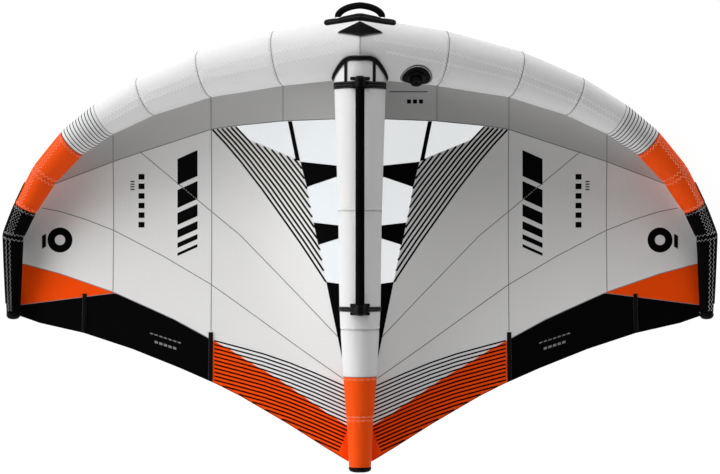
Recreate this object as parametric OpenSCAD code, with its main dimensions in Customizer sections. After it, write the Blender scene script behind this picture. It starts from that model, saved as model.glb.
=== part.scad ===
// Hand-held inflatable wing for wing foiling, lying strut side up as it is parked on a beach.
// Modelled in a wing frame (X along the span, Y towards the leading edge, Z towards the rider's side)
// and then pitched nose down a little, as it rests on its two shoulders and tips.
// Only the right half of a mirrored piece is drawn; the left is its mirror image.

/* [Leading edge tube] */
// Radius of the tube at the middle
le_r_mid = 107; // [95:1:115]
// Half span at the tips' centre line
half_span = 1277; // [1240:1:1300]
// Depth of the dihedral per metre of span
dihedral = 0.205; // [0.16:0.005:0.24]
// How much the dihedral steepens outwards
dihedral_bend = 0.048; // [0.03:0.002:0.06]
// Thickness of the woven casing
casing_t = 1.2; // [0.8:0.1:2]
// Number of flats round the tube
le_sides = 36; // [24:4:40]

/* [Strut] */
// Radius at the front of the strut
strut_r = 91; // [84:1:94]
// Height of the strut's axis over the tube's axis, at the front band
strut_z = 12; // [8:1:14]
// Slope of the strut's axis in degrees
strut_slope = 1.3; // [1:0.1:1.6]
// Wall of the strut casing
strut_t = 1.2; // [0.8:0.1:2]

/* [Canopy] */
// Thickness of the canopy cloth as drawn
cloth_t = 1.6; // [1:0.1:2.5]
// Camber of the canopy between the strut and the tip
camber_out = 85; // [50:5:100]
// Camber of the canopy beside the strut
camber_mid = 12; // [10:1:20]

/* [Boom] */
// Outside diameter of the boom tube
boom_d = 28; // [25:1:30]
// Outside diameter of the foam grip on it
grip_d = 32; // [31:1:34]
// Height of the boom's axis
boom_z = 160; // [152:1:175]
// Front end of the boom tube
boom_y0 = 559; // [550:1:570]
// Rear end of the boom tube
boom_y1 = -272; // [-285:1:-270]

/* [Valve] */
// Radius of the valve's inflation bore
valve_bore_r = 12; // [9:0.5:13]
// Outside radius of the valve's neck
valve_neck_r = 17; // [16:0.5:19]
// Height of the neck over the flange
valve_neck_h = 16; // [12:1:18]
// Place of the valve along the span
valve_x = 197; // [180:1:215]

/* [Resting pose] */
// Pitch, nose down, in degrees
rest_pitch = -12.4; // [-15:0.1:-8]
// Shift forward that centres the box on the origin
rest_y = -6.5; // [-60:1:60]
// Lift that puts the lowest point on the ground
rest_z = 402.2; // [380:1:520]

/* [Hidden] */

// Seams of the leading edge tube: distance from the middle, forward position, radius
LE = [[0, 673, le_r_mid], [290, 639, 99], [559, 586, 85], [776, 510, 73.5], [932, 430, 64],
    [1053, 343, 57], [1157, 229, 51], [1230, 107, 42], [half_span, 3, 38], [half_span, -287, 24]];
// Outlines in the wing frame as [distance from the middle, forward position]
TE = [[0, -812], [46, -796], [128, -748], [258, -669], [432, -572], [520, -530], [652, -475], [830, -408],
    [1011, -352], [1178, -317], [1255, -292], [1264, -290]];
FRONT_SEAM = [[0, 424], [83, 424], [279, 420], [436, 407], [540, 394], [805, 311], [906, 279], [1060, 232], [1140, 218]];
WINDOW_EDGE = [[60, -440], [81, -351], [122, -162], [150, -29], [194, 181], [225, 279], [423, 360], [447, 400]];
TE_PANEL = [[0, -545], [60, -528], [532, -375], [902, -202], [1104, -136], [1243, -100], [1264, -95]];
TIP_PANEL = [[902, -206], [1255, -251], [1264, -252]];
COLUMNS = [0, 30, 60, 110, 160, 215, 275, 340, 400, 447, 490, 532, 620, 710, 800, 902, 980, 1060, 1140, 1190, 1225, 1255];

// ---------- vectors and lofts ----------
function unit(v) = v / norm(v);
function flat(l) = [for (a = l) for (b = a) b];
function quad(a, b, c, d) = [[a, b, c], [a, c, d]];
function flip(fs, off = 0) = [for (f = fs) [f[2] + off, f[1] + off, f[0] + off]];
function sides(m, n, off = 0) = [for (k = [0:m - 2]) for (i = [0:n - 1])
    let (j = (i + 1) % n) for (f = quad(off + k * n + i, off + (k + 1) * n + i, off + (k + 1) * n + j, off + k * n + j)) f];
function fan(n) = [for (i = [1:n - 2]) [0, i, i + 1]];
function strip(n) = [for (i = [0:n / 2 - 2]) for (f = quad(i, i + 1, n - 2 - i, n - 1 - i)) f];

// A solid lofted through rings of equal length, its ends closed by a fan or by a strip across
module loft(rings, cap = "fan") {
    n = len(rings[0]);
    m = len(rings);
    c = cap == "fan" ? fan(n) : strip(n);
    polyhedron(points = flat(rings), faces = concat(sides(m, n), c, flip(c, (m - 1) * n)));
}
// A hollow loft: an outer and an inner skin, open at its end and open or closed at its start
module shell(outer, inner, closed = false) {
    n = len(outer[0]);
    m = len(outer);
    o = m * n;
    a = closed ? concat(fan(n), flip(fan(n), o)) : [for (i = [0:n - 1]) let (j = (i + 1) % n) for (f = quad(i, j, o + j, o + i)) f];
    b = [for (i = [0:n - 1]) let (j = (i + 1) % n, e = (m - 1) * n) for (f = quad(e + i, o + e + i, o + e + j, e + j)) f];
    polyhedron(points = concat(flat(outer), flat(inner)), faces = concat(sides(m, n), flip(sides(m, n, o)), a, b));
}

// ---------- leading edge ----------
function dih(x) = -(dihedral * abs(x) + dihedral_bend * x * x / 1000);
function le_c(i) = let (k = abs(i), s = i < 0 ? -1 : 1) [s * LE[k][0], LE[k][1], dih(LE[k][0])];
function le_t(i) = unit((i < 9 ? unit(le_c(i + 1) - le_c(i)) : [0, 0, 0]) + (i > -9 ? unit(le_c(i) - le_c(i - 1)) : [0, 0, 0]));
function le_e1(i) = unit(cross([0, 0, 1], le_t(i)));
function le_e2(i) = cross(le_t(i), le_e1(i));
function le_ring(i, d) = [for (k = [0:le_sides - 1]) let (a = 360 * k / le_sides)
    le_c(i) + (LE[abs(i)][2] + d) * (cos(a) * le_e1(i) + sin(a) * le_e2(i))];
function le_cut(i, d, along) = [for (p = le_ring(i, d)) p + le_t(i) * along];
// A point on the tube near the middle: x along the span, angle from straight ahead towards the rider's side
function nose_c(x) = [x, 673 - 0.1172 * abs(x), dih(x)];
function nose_r(x) = le_r_mid - 0.0276 * abs(x);
function nose_p(x, a, d) = nose_c(x) + (nose_r(x) + d) * [0, cos(a), sin(a)];

module le_part(a, b) {
    shell([for (i = [a:b]) le_ring(i, 0)], [for (i = [a:b]) le_ring(i, -casing_t)]);
}
module le_end(i, grow, len, inset) {
    // a rounded closed end on the tube at station i
    s = sign(i);
    loft([for (k = [0:5]) let (q = k * 16, c = le_c(i) + [0, -0.5 - len * sin(q), 0], r = LE[9][2] + grow)
        [for (j = [0:23]) let (a = 15 * j) c + max(0.6, r * cos(q)) * [cos(a), 0, sin(a)]]]);
}

// ---------- canopy surface ----------
ATTACH = [for (i = [0:8]) let (c = le_c(i), r = LE[i][2], e = le_e1(i)) [c.x - (i == 0 ? 0 : 0.35 * r * e.x), c.y - 0.35 * r * e.y, c.z - 0.937 * r - 1.2]];
function y_at(x) = lookup(x, [for (p = ATTACH) [p.x, p.y]]);
function z_at(x) = lookup(x, [for (p = ATTACH) [p.x, p.z]]);
function y_te(x) = lookup(x, TE);
function z_te(x) = 2 - 0.289 * x;
function y_fs(x) = min(lookup(x, FRONT_SEAM), y_at(x) - 2);
function y_we(x) = min(lookup(x, WINDOW_EDGE), y_fs(x) - 2);
function y_tp(x) = lookup(x, TE_PANEL);
function y_ti(x) = lookup(x, TIP_PANEL);
function bulge(t) = t <= 0 || t >= 1 ? 0 : pow(t, 0.7) * pow(1 - t, 1.2) / 0.2864;
function camber(x) = camber_mid + camber_out * (1 - exp(-pow(x / 260, 2))) * max(0, 1 - pow(x / 1290, 3));
function cloth_z(x, y) = let (t = (y_at(x) - y) / (y_at(x) - y_te(x))) z_at(x) * (1 - t) + z_te(x) * t - camber(x) * bulge(t);
function cloth_p(x, y, d) = [x, y, cloth_z(abs(x), y) + d];
// One ring across the cloth at x, from the fore edge to the aft edge and back underneath
function cloth_ring(x, fore, aft, rows, top, bottom) = concat(
    [for (k = [0:rows]) cloth_p(x, fore + (aft - fore) * k / rows, top)],
    [for (k = [rows:-1:0]) cloth_p(x, fore + (aft - fore) * k / rows, bottom)]);
function cols(a, b) = [for (x = COLUMNS) if (x >= a && x <= b) x];

// ---------- strut ----------
// Radius of the strut along its length
STRUT = [[-832, 30], [-816, 38.7], [-650, 47], [-497, 59.1], [-252, 72.8], [60, 76.7], [529, strut_r], [700, strut_r + 1]];
function s_r(y) = lookup(y, STRUT);
function s_axis_z(y) = strut_z + (529 - y) * tan(strut_slope);
module strut_frame() {
    translate([0, 529, strut_z]) rotate([-strut_slope, 0, 0]) translate([0, -529, 0]) children();
}
module about_y() rotate([-90, 0, 0]) children();
// A ring sector on the strut, open at the canopy: radii r0 to r1, from y0 to y1, spread degrees wide
module strut_ring(r0, r1, y0, y1, spread, turn = 0)
    strut_frame() rotate([0, turn, 0]) about_y() rotate([0, 0, -90 - spread / 2]) rotate_extrude(angle = spread, $fn = 96)
        polygon([[r0, y0], [r1, y0], [r1, y1], [r0, y1]]);
// The leading edge as two exact cones, used to trim what meets it
module le_solid(d) {
    for (s = [-1, 1]) {
        v = le_c(1) - le_c(0);
        l = norm(v);
        mirror([s < 0 ? 1 : 0, 0, 0]) translate(le_c(0)) rotate([0, 0, atan2(v.y, v.x)]) rotate([0, 90 - asin(v.z / l), 0])
            translate([0, 0, -40]) cylinder(r1 = le_r_mid + d + 40 * (le_r_mid - LE[1][2]) / l, r2 = LE[1][2] + d, h = l + 40, $fn = 96);
    }
}
module strut_revolve(pts) strut_frame() about_y() rotate_extrude($fn = 96) polygon(pts);

module place() translate([0, rest_y, rest_z]) rotate([rest_pitch, 0, 0]) children();
module half(side) mirror([side == "left" ? 1 : 0, 0, 0]) children();

// ---------- leading edge pieces ----------
// The sewn panels of the middle tube, one closed ring of cloth between each pair of seams
module le_casing_center() {
    color("whitesmoke") place() for (i = [-5:4])
        shell([le_cut(i, 0, 0.1), le_cut(i + 1, 0, -0.1)], [le_cut(i, -casing_t, 0.1), le_cut(i + 1, -casing_t, -0.1)]);
}
module le_casing_orange(side) { color("orangered") place() half(side) le_part(5, 7); }
module le_casing_tip(side) { color("black") place() half(side) le_part(7, 9); }
module le_tip_cap(side) { color("black") place() half(side) le_end(9, 1, 16, 0); }
// Scuff guard bonded along the outside of the tip, at station q of the tube, angle a, height d
function tg_p(q, a, d) = let (i = min(8, floor(q)), u = q - i)
    (1 - u) * (le_c(i) + (LE[i][2] + d) * (cos(a) * le_e1(i) + sin(a) * le_e2(i)))
    + u * (le_c(i + 1) + (LE[i + 1][2] + d) * (cos(a) * le_e1(i + 1) + sin(a) * le_e2(i + 1)));
module tip_guard(side) {
    color("dimgray") place() half(side) loft([for (q = [6.45, 6.7, 7, 7.5, 8, 8.2, 8.4, 8.6, 8.86])
        concat([for (a = [-20:10:20]) tg_p(q, a, 3.2)], [for (a = [20:-10:-20]) tg_p(q, a, 0.5)])], "strip");
}
module le_bladder() {
    d = -casing_t - 0.8;
    color("lightblue") place() shell(
        [for (i = [-9:9]) le_ring(i, i == 9 ? -18 : d)],
        [for (i = [-9:9]) le_ring(i, i == 9 ? -18.4 : d - 0.4)]);
}

// ---------- strut pieces ----------
module strut_casing() {
    color("whitesmoke") place() difference() {
        strut_revolve(concat([for (p = STRUT) if (p[0] >= -497 && p[0] < 600) [p[1], p[0]]], [[strut_r + 0.7, 652]],
            [[strut_r + 0.7 - strut_t, 652]], [for (k = [len(STRUT) - 1:-1:0]) let (p = STRUT[k]) if (p[0] >= -497 && p[0] < 600) [p[1] - strut_t, p[0]]]));
        le_solid(0.3);
    }
}
module strut_tail_casing() {
    color("orangered") place() strut_revolve([[59.1, -497], [47, -650], [38.7, -816], [38.7 - strut_t, -816], [47 - strut_t, -650], [59.1 - strut_t, -497]]);
}
module strut_end_cap() {
    color("black") place() strut_revolve([[0, -816.2], [39.4, -816.2], [39.4, -822], [36, -827.5], [28, -831], [0, -832]]);
}
module strut_bladder() {
    c = strut_t + 0.8;
    color("lightblue") place() strut_revolve([[6, 546], [40, 542], [70, 530], [strut_r - c, 505], [76.7 - c, 60], [72.8 - c, -252], [59.1 - c, -497],
        [47 - c, -650], [39.5 - c, -806], [20, -812], [0, -813], [0, -812.5], [20, -811.5], [39 - c, -805.6], [46.6 - c, -650], [58.7 - c, -497],
        [72.4 - c, -252], [76.3 - c, 60], [strut_r - 0.4 - c, 504.8], [69.8, 529.6], [40, 541.6], [6, 545.6]]);
}
module one_pump_hose() {
    color("black") place() strut_frame() about_y() difference() {
        translate([0, 0, 547]) cylinder(r = 8, h = 18.5, $fn = 32);
        translate([0, 0, 546]) cylinder(r = 6, h = 21, $fn = 32);
    }
}
module hose_clamps() {
    color("silver") place() strut_frame() about_y() for (y = [549, 557]) difference() {
        translate([0, 0, y]) cylinder(r = 9.2, h = 5, $fn = 32);
        translate([0, 0, y - 1]) cylinder(r = 8.1, h = 7, $fn = 32);
    }
}
module strut_band(y0, y1, r) { color("black") place() strut_ring(r + 0.5, r + 2.4, y0, y1, 236); }
module strut_band_front() strut_band(522, 547, strut_r + 0.2);
module strut_band_rear() strut_band(-263, -246, 73);

// The seam tape that rims the strut's open nose where it meets the tube
function yk_w(a) = 8 - 4 * pow(abs(a) / 95, 2);
function yk_s(a) = let (x = (strut_r + 0.6) * sin(a), z = strut_z - 2.6 + (strut_r + 0.6) * cos(a), c = nose_c(x), r = nose_r(x))
    [x, c.y - sqrt(max(4, r * r - pow(z - c.z, 2))), z];
function yk_n1(a) = [sin(a), 0, cos(a)];
function yk_n2(a) = let (p = yk_s(a), c = nose_c(p.x)) unit([0, p.y - c.y, p.z - c.z]);
function yk_p(a) = let (n = unit(yk_n1(a) + yk_n2(a)), d = yk_n1(a) * yk_n2(a)) yk_s(a) + n * (1.6 + (yk_w(a) + 1) * sqrt((1 - d) / (1 + d)));
module strut_yoke() {
    color("black") place() loft([for (a = [-95:9.5:95]) let (t = unit(yk_p(a + 1) - yk_p(a - 1)), n0 = unit(yk_n1(a) + yk_n2(a)),
        w = unit(cross(t, n0)), n = cross(w, t), h = yk_w(a), p = yk_p(a))
        [p + w * h, p + w * h + n * 1.6, p + n * 2.4, p - w * h + n * 1.6, p - w * h, p - n * 0.1]], "fan");
}
module strut_yoke_straps() {
    color("black") place() for (s = [-1, 1]) strut_ring(strut_r + 1.3, strut_r + 3, 557, 596, 7.6, s * 33);
}

// ---------- canopy pieces ----------
module canopy_center() {
    color("whitesmoke") place() loft([for (x = [-60, -30, 0, 30, 60]) cloth_ring(x, y_fs(abs(x)), y_te(abs(x)) , 14, 0, -cloth_t)], "strip");
}
module canopy_front(side) {
    color("lightgray") place() half(side) loft([for (x = cols(0, 1140)) cloth_ring(x, y_at(x), y_fs(x), 6, 0, -cloth_t)], "strip");
}
module window(side) {
    color("aliceblue") place() half(side) loft([for (x = cols(60, 447)) cloth_ring(x, y_fs(x), y_we(x), 9, -0.3, -cloth_t + 0.3)], "strip");
}
// Ties sewn over the window: [near x, far x, fore edge near and far, aft edge near and far]
TIES = [[62, 206, 256, 272, 218, 190], [62, 160, 38, 52, -2, -26], [62, 121, -172, -163, -330, -170]];
module window_braces(side) {
    color("black") place() half(side) {
        loft([for (k = [0:4]) let (y = 415 - 33 * k, x = 256 - 7 * k, za = cloth_z(x + 7, y) + 1, zb = cloth_z(x - 7, y) + 1)
            [[x + 7, y, za], [x + 7, y, za + 1.2], [x - 7, y, zb + 1.2], [x - 7, y, zb]]]);
        for (b = TIES)
            loft([for (k = [0:4]) let (u = k / 4) cloth_ring(b[0] + (b[1] - b[0]) * u,
                b[2] + (b[3] - b[2]) * u, b[4] + (b[5] - b[4]) * u, 3, 2.8, 1.6)], "strip");
    }
}
module canopy_main(side) {
    color("whitesmoke") place() half(side) loft([for (x = cols(60, 1255)) cloth_ring(x,
        x < 448 ? y_we(x) : x <= 1140 ? y_fs(x) : y_at(x), y_tp(x), 9, 0, -cloth_t)], "strip");
}
module te_orange_tip(side) {
    color("orangered") place() half(side) loft([for (x = cols(902, 1255)) cloth_ring(x, y_tp(x), y_ti(x), 4, 0, -cloth_t)], "strip");
}
module te_black(side) {
    color("black") place() half(side) loft([for (x = cols(532, 1255)) cloth_ring(x, x < 902 ? y_tp(x) : y_ti(x), y_te(x), 5, 0, -cloth_t)], "strip");
}
module te_orange_inner(side) {
    color("orangered") place() half(side) loft([for (x = cols(60, 532)) cloth_ring(x, y_tp(x), y_te(x), 6, 0, -cloth_t)], "strip");
}
// Battens: a flat glass-fibre strip in a sewn pocket, at x, from y0 back to y1
module batten(side, x, y0, y1) {
    color("black") place() half(side) loft([for (k = [0:7]) let (y = y0 - 6 + (y1 - y0 + 12) * k / 7, z = cloth_z(x, y) + 3.1)
        [[x + 5, y, z], [x + 5, y, z + 1.8], [x - 5, y, z + 1.8], [x - 5, y, z]]], "fan");
}
function box_ring(x, y, z, w, h) = [[x + w, y, z - h], [x + w, y, z + h], [x - w, y, z + h], [x - w, y, z - h]];
module batten_pocket(side, x, y0, y1) {
    color("black") place() half(side) {
        n = 7;
        pts = [for (k = [0:n]) let (y = y1 + (y0 - y1) * k / n) [y, cloth_z(x, y) + 4]];
        rotate([0, 0, 0]) shell([for (p = pts) yz_ring(x, p[0], p[1], 8, 2.4)], [for (p = pts) yz_ring(x, p[0], p[1], 6.4, 1.5)]);
    }
}
function yz_ring(x, y, z, w, h) = [[x - w, y, z + h], [x - w, y, z - h], [x + w, y, z - h], [x + w, y, z + h]];

// ---------- boom ----------
module boom_frame(y) translate([0, y, boom_z]) children();
module boom_tube() {
    color("black") place() difference() {
        boom_frame(boom_y1) about_y() cylinder(d = boom_d, h = boom_y0 - boom_y1, $fn = 64);
        boom_frame(boom_y1 - 1) about_y() cylinder(d = boom_d - 4, h = boom_y0 - boom_y1 + 2, $fn = 64);
    }
}
module boom_grip() {
    color("black") place() difference() {
        boom_frame(-238) about_y() cylinder(d = grip_d, h = 763, $fn = 64);
        boom_frame(-239) about_y() cylinder(d = boom_d, h = 765, $fn = 64);
    }
}
// A saddle foot on the strut with a clamp collar round the boom
module boom_bracket(y, r) {
    a = asin(35 / (r + 4));
    color("black") place() difference() {
        union() {
            strut_ring(r, r + 5, y - 20.5, y + 20.5, 2 * a);
            translate([-12, y - 14, strut_z + 85]) cube([24, 28, boom_z - strut_z - 85]);
            boom_frame(y - 15) about_y() cylinder(d = boom_d + 11, h = 30, $fn = 64);
        }
        boom_frame(y - 40) about_y() cylinder(d = boom_d, h = 80, $fn = 64);
        strut_frame() about_y() translate([0, 0, y - 40]) cylinder(r = r, h = 80, $fn = 96);
        boom_screw_places(y) cylinder(d = 5.6, h = 40, center = true, $fn = 24);
        // the foot is I-shaped: open at both sides between its two bars
        for (s = [-1, 1]) translate([s * 33 - 15, y - 9, strut_z + r - 30]) cube([30, 18, 40]);
    }
}
module boom_screw_places(y) {
    for (s = [-1, 1]) for (d = [-14.8, 14.8]) strut_frame() rotate([0, s * 15.5, 0]) translate([0, y + d, 96]) children();
}
module boom_bracket_front() boom_bracket(541.5, strut_r + 2.9);
module boom_bracket_rear() boom_bracket(-254.5, 75.8);
module boom_screws() {
    color("silver") place() {
        boom_screw_places(541.5) translate([0, 0, strut_r + 8 - 96]) { cylinder(d = 9, h = 2.6, $fn = 24); translate([0, 0, -4.4]) cylinder(d = 5, h = 4.4, $fn = 24); }
        boom_screw_places(-254.5) translate([0, 0, 80.9 - 96]) { cylinder(d = 9, h = 2.6, $fn = 24); translate([0, 0, -4.4]) cylinder(d = 5, h = 4.4, $fn = 24); }
    }
}
module boom_end_plugs() {
    color("black") place() {
        boom_frame(boom_y0 - 12) about_y() { cylinder(d = boom_d - 4, h = 12, $fn = 48); translate([0, 0, 12]) cylinder(d = boom_d, h = 3, $fn = 48); }
        boom_frame(boom_y1 - 3) about_y() { cylinder(d = boom_d, h = 3, $fn = 48); translate([0, 0, 3]) cylinder(d = boom_d - 4, h = 12, $fn = 48); }
    }
}

// ---------- front handle ----------
module handle_base() {
    color("black") place() loft([for (k = [-6:6]) let (x = 128 * k / 6, q = abs(k) == 6 ? 0.55 : 1, b = 9 + 1.4 * exp(-pow(x / 35, 2)))
        concat([for (j = [0:6]) let (s = j / 6, a = 8 + q * (-24 + 48 * s)) nose_p(x, a, 2.6 + b * q * sin(180 * s))],
               [for (j = [6:-1:0]) let (s = j / 6, a = 8 + q * (-24 + 48 * s)) nose_p(x, a, 1.2)])], "strip");
}
// Forward position of the pins that the handle turns on
handle_pin_y = 786.3;
// Centre line of the padded grip, an arch in front of the nose
function grip_c(u) = [79 * cos(u), 779 + 37 * sin(u) + (1 - abs(cos(u))) * 4, 8 + 14 * sin(u)];
module handle_grip() {
    color("black") place() difference() {
        loft([for (k = [0:16]) let (u = 172 - 164 * k / 16, t = unit(grip_c(u - 1) - grip_c(u + 1)),
            e1 = unit(cross([0, 0, 1], t)), e2 = cross(t, e1), c = grip_c(u))
            [for (j = [0:15]) let (a = 22.5 * j) c + 10.5 * cos(a) * e1 + 8.5 * sin(a) * e2]]);
        // round recess at each end for the webbing loop
        for (s = [-1, 1]) translate([s * 78.5 - 15, handle_pin_y, 8]) rotate([0, 90, 0]) cylinder(r = 7.4, h = 30, $fn = 32);
    }
}
// The webbing loops at the grip's two ends, which turn on the base
module handle_webbing() {
    color("black") place() for (s = [-1, 1]) translate([s * 78.5 - 8, handle_pin_y, 8]) rotate([0, 90, 0]) difference() {
        cylinder(r = 7, h = 16, $fn = 32);
        translate([0, 0, -1]) cylinder(r = 2.6, h = 18, $fn = 24);
    }
}
// The cord pins that the loops turn on, sewn to the base
module handle_pins() {
    color("dimgray") place() for (s = [-1, 1]) {
        translate([s * 78.5 - 11, handle_pin_y, 8]) rotate([0, 90, 0]) cylinder(r = 2.3, h = 22, $fn = 24);
        for (d = [-11, 8.4]) let (x = s * 78.5 + d, y = abs(x + 1.3) < 78 ? 780.2 : 776.4)
            translate([x, y, 5.8]) cube([2.6, handle_pin_y - y, 4.4]);
    }
}
module nose_patch() {
    color("black") place() loft([for (k = [-6:6]) let (x = 78 * k / 6, u = pow(abs(k) / 6, 0.9), lo = 38 + 19.8 * u, hi = 73 - 13.6 * u)
        concat([for (j = [0:4]) nose_p(x, lo + (hi - lo) * j / 4, 3.4)], [for (j = [4:-1:0]) nose_p(x, lo + (hi - lo) * j / 4, 0.8)])], "strip");
}

// ---------- valve ----------
vt = unit(le_c(1) - le_c(0));
ve1 = unit(cross([0, 0, 1], vt));
ve2 = cross(vt, ve1);
vn = -cos(34) * ve1 + sin(34) * ve2;
vy = cross(vn, vt);
v_f = valve_x / LE[1][0];
v_r = le_r_mid + (LE[1][2] - le_r_mid) * v_f;
v_c = le_c(0) + (le_c(1) - le_c(0)) * v_f;
v_o = v_c + vn * (v_r + 3.2);
module valve_frame() multmatrix([[vt.x, vy.x, vn.x, v_o.x], [vt.y, vy.y, vn.y, v_o.y], [vt.z, vy.z, vn.z, v_o.z], [0, 0, 0, 1]]) children();
v_taper = (le_r_mid - LE[1][2]) / norm(le_c(1) - le_c(0));
function v_p(r, a, d) = let (s = r * cos(a), q = r * sin(a) / v_r * 180 / PI) v_c + vt * s + (v_r + d) * (cos(q) * vn + sin(q) * vy);
module valve_patch() {
    color("black") place() difference() {
        loft([for (k = [0:12]) let (s = 54 * cos(180 - 15 * k), w = 54 * max(0.12, sin(15 * k)))
            concat([for (j = [0:8]) let (q = (w - 2 * w * j / 8) / v_r * 180 / PI) v_c + vt * s + (v_r + 2.2 - v_taper * s) * (cos(q) * vn - sin(q) * vy)],
                   [for (j = [8:-1:0]) let (q = (w - 2 * w * j / 8) / v_r * 180 / PI) v_c + vt * s + (v_r + 0.8 - v_taper * s) * (cos(q) * vn - sin(q) * vy)])], "strip");
    }
}
module valve_body() {
    color("dimgray") place() valve_frame() difference() {
        union() {
            cylinder(r = 34, h = 3, $fn = 64);
            // the neck tapers above its thread so that the cap swings clear of it
            cylinder(r = valve_neck_r, h = 8, $fn = 64);
            translate([0, 0, 8]) cylinder(r1 = valve_neck_r, r2 = valve_neck_r - 2.1, h = valve_neck_h - 5, $fn = 64);
        }
        translate([0, 0, 3]) cylinder(r = valve_bore_r, h = valve_neck_h + 5, $fn = 64);
        // recess under the seat for the flap
        translate([0, 0, -1]) cylinder(r = valve_bore_r - 3, h = 2.6, $fn = 64);
    }
}
module valve_diaphragm() {
    color("white") place() valve_frame() translate([0, 0, 0.3]) cylinder(r = valve_bore_r - 3.4, h = 1.1, $fn = 48);
}
module valve_cap() {
    color("black") place() valve_frame() difference() {
        union() {
            translate([0, 0, 3.4]) cylinder(r = valve_neck_r + 5, h = valve_neck_h + 3.2, $fn = 64);
            translate([-7, valve_neck_r + 3, 3.6]) cube([14, 6.5, 5]);
        }
        translate([0, 0, 2]) cylinder(r = valve_neck_r + 0.5, h = valve_neck_h + 1.8, $fn = 64);
        translate([0, valve_neck_r + 9, 5.6]) rotate([0, 90, 0]) cylinder(r = 2.9, h = 40, center = true, $fn = 32);
    }
}
module valve_tether() {
    color("black") place() valve_frame() {
        difference() {
            union() {
                translate([0, valve_neck_r + 9, 5.6]) rotate([0, 90, 0]) cylinder(r = 2.4, h = 22, center = true, $fn = 32);
                for (x = [-11, 8]) translate([x, valve_neck_r + 6, 3.15]) cube([3, 9, 2.4]);
            }
        }
    }
}

le_casing_center();
le_casing_orange("left");  // le_casing_orange_left
le_casing_orange("right");  // le_casing_orange_right
le_casing_tip("left");  // le_casing_tip_left
le_casing_tip("right");  // le_casing_tip_right
le_tip_cap("left");  // le_tip_cap_left
le_tip_cap("right");  // le_tip_cap_right
tip_guard("left");  // tip_guard_left
tip_guard("right");  // tip_guard_right
le_bladder();
strut_casing();
strut_tail_casing();
strut_end_cap();
strut_bladder();
one_pump_hose();
hose_clamps();
canopy_center();
canopy_front("left");  // canopy_front_left
canopy_front("right");  // canopy_front_right
window("left");  // window_left
window("right");  // window_right
window_braces("left");  // window_braces_left
window_braces("right");  // window_braces_right
canopy_main("left");  // canopy_main_left
canopy_main("right");  // canopy_main_right
te_orange_tip("left");  // te_orange_tip_left
te_orange_tip("right");  // te_orange_tip_right
te_black("left");  // te_black_left
te_black("right");  // te_black_right
te_orange_inner("left");  // te_orange_inner_left
te_orange_inner("right");  // te_orange_inner_right
batten("left", 1000, -225, -342);  // batten_outer_left
batten("right", 1000, -225, -342);  // batten_outer_right
batten("left", 540, -345, -510);  // batten_inner_left
batten("right", 540, -345, -510);  // batten_inner_right
batten_pocket("left", 1000, -215, -350);  // batten_pocket_outer_left
batten_pocket("right", 1000, -215, -350);  // batten_pocket_outer_right
batten_pocket("left", 540, -345, -518);  // batten_pocket_inner_left
batten_pocket("right", 540, -345, -518);  // batten_pocket_inner_right
boom_tube();
boom_grip();
boom_bracket_front();
boom_bracket_rear();
boom_screws();
boom_end_plugs();
strut_band_front();
strut_band_rear();
strut_yoke();
strut_yoke_straps();
handle_base();
handle_pins();
handle_grip();
handle_webbing();
nose_patch();
valve_patch();
valve_body();
valve_diaphragm();
valve_cap();
valve_tether();
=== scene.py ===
import bpy, bmesh, math
import numpy as np
from mathutils import Vector, Matrix


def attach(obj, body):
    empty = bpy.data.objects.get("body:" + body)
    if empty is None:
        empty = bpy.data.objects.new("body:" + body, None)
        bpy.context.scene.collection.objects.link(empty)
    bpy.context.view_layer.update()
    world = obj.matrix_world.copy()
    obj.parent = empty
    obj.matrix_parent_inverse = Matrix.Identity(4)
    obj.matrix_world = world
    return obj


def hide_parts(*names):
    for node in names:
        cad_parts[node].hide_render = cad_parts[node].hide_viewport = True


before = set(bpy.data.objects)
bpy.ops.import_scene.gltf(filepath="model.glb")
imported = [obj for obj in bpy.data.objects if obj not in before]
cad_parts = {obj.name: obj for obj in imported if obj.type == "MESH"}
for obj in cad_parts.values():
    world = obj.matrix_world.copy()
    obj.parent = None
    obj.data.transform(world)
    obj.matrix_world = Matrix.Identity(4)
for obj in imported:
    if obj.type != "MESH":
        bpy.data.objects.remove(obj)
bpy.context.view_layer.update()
sc = bpy.context.scene

# ------------------------------------------------------------------ frame
# The wing frame is in millimetres, X along the span, Y to the leading edge, Z to the rider.
PL = Matrix.Translation((0, -0.0065, 0.4022)) @ Matrix.Rotation(math.radians(-12.4), 4, 'X')
PR = np.array(PL.to_3x3()); PT = np.array(PL.translation)
def place(v):
    return np.asarray(v, float) / 1000 @ PR.T + PT

# ------------------------------------------------------------------ camera
cam = bpy.data.objects.new("camera", bpy.data.cameras.new("camera"))
sc.collection.objects.link(cam)
CAM_D, MM_PX = 9000.0, 3.55
cam.data.lens = 36 * CAM_D / (720 * MM_PX)
cam.data.sensor_width = 36
cam.data.clip_end = 60
cam.matrix_world = PL @ Matrix.Translation((0, 0, CAM_D / 1000))
sc.camera = cam

# ------------------------------------------------------------------ shape of the wing, as in the design
LE = np.array([[0, 673, 107], [290, 639, 99], [559, 586, 85], [776, 510, 73.5], [932, 430, 64],
               [1053, 343, 57], [1157, 229, 51], [1230, 107, 42], [1277, 3, 38], [1277, -287, 24]], float)
TE = [[0, -812], [46, -796], [128, -748], [258, -669], [432, -572], [520, -530], [652, -475], [830, -408],
      [1011, -352], [1178, -317], [1255, -292], [1264, -290]]
FRONT_SEAM = [[0, 424], [83, 424], [279, 420], [436, 407], [540, 394], [805, 311], [906, 278], [1054, 223], [1131, 194], [1140, 190]]
WINDOW_EDGE = [[60, -440], [81, -351], [122, -162], [150, -29], [194, 181], [225, 279], [423, 360], [447, 400]]
TIP_PANEL = [[902, -206], [1255, -251], [1264, -252]]
def dih(x): x = abs(x); return -(0.205 * x + 0.048 * x * x / 1000)
def unit(v): v = np.asarray(v, float); return v / np.linalg.norm(v)
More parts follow.
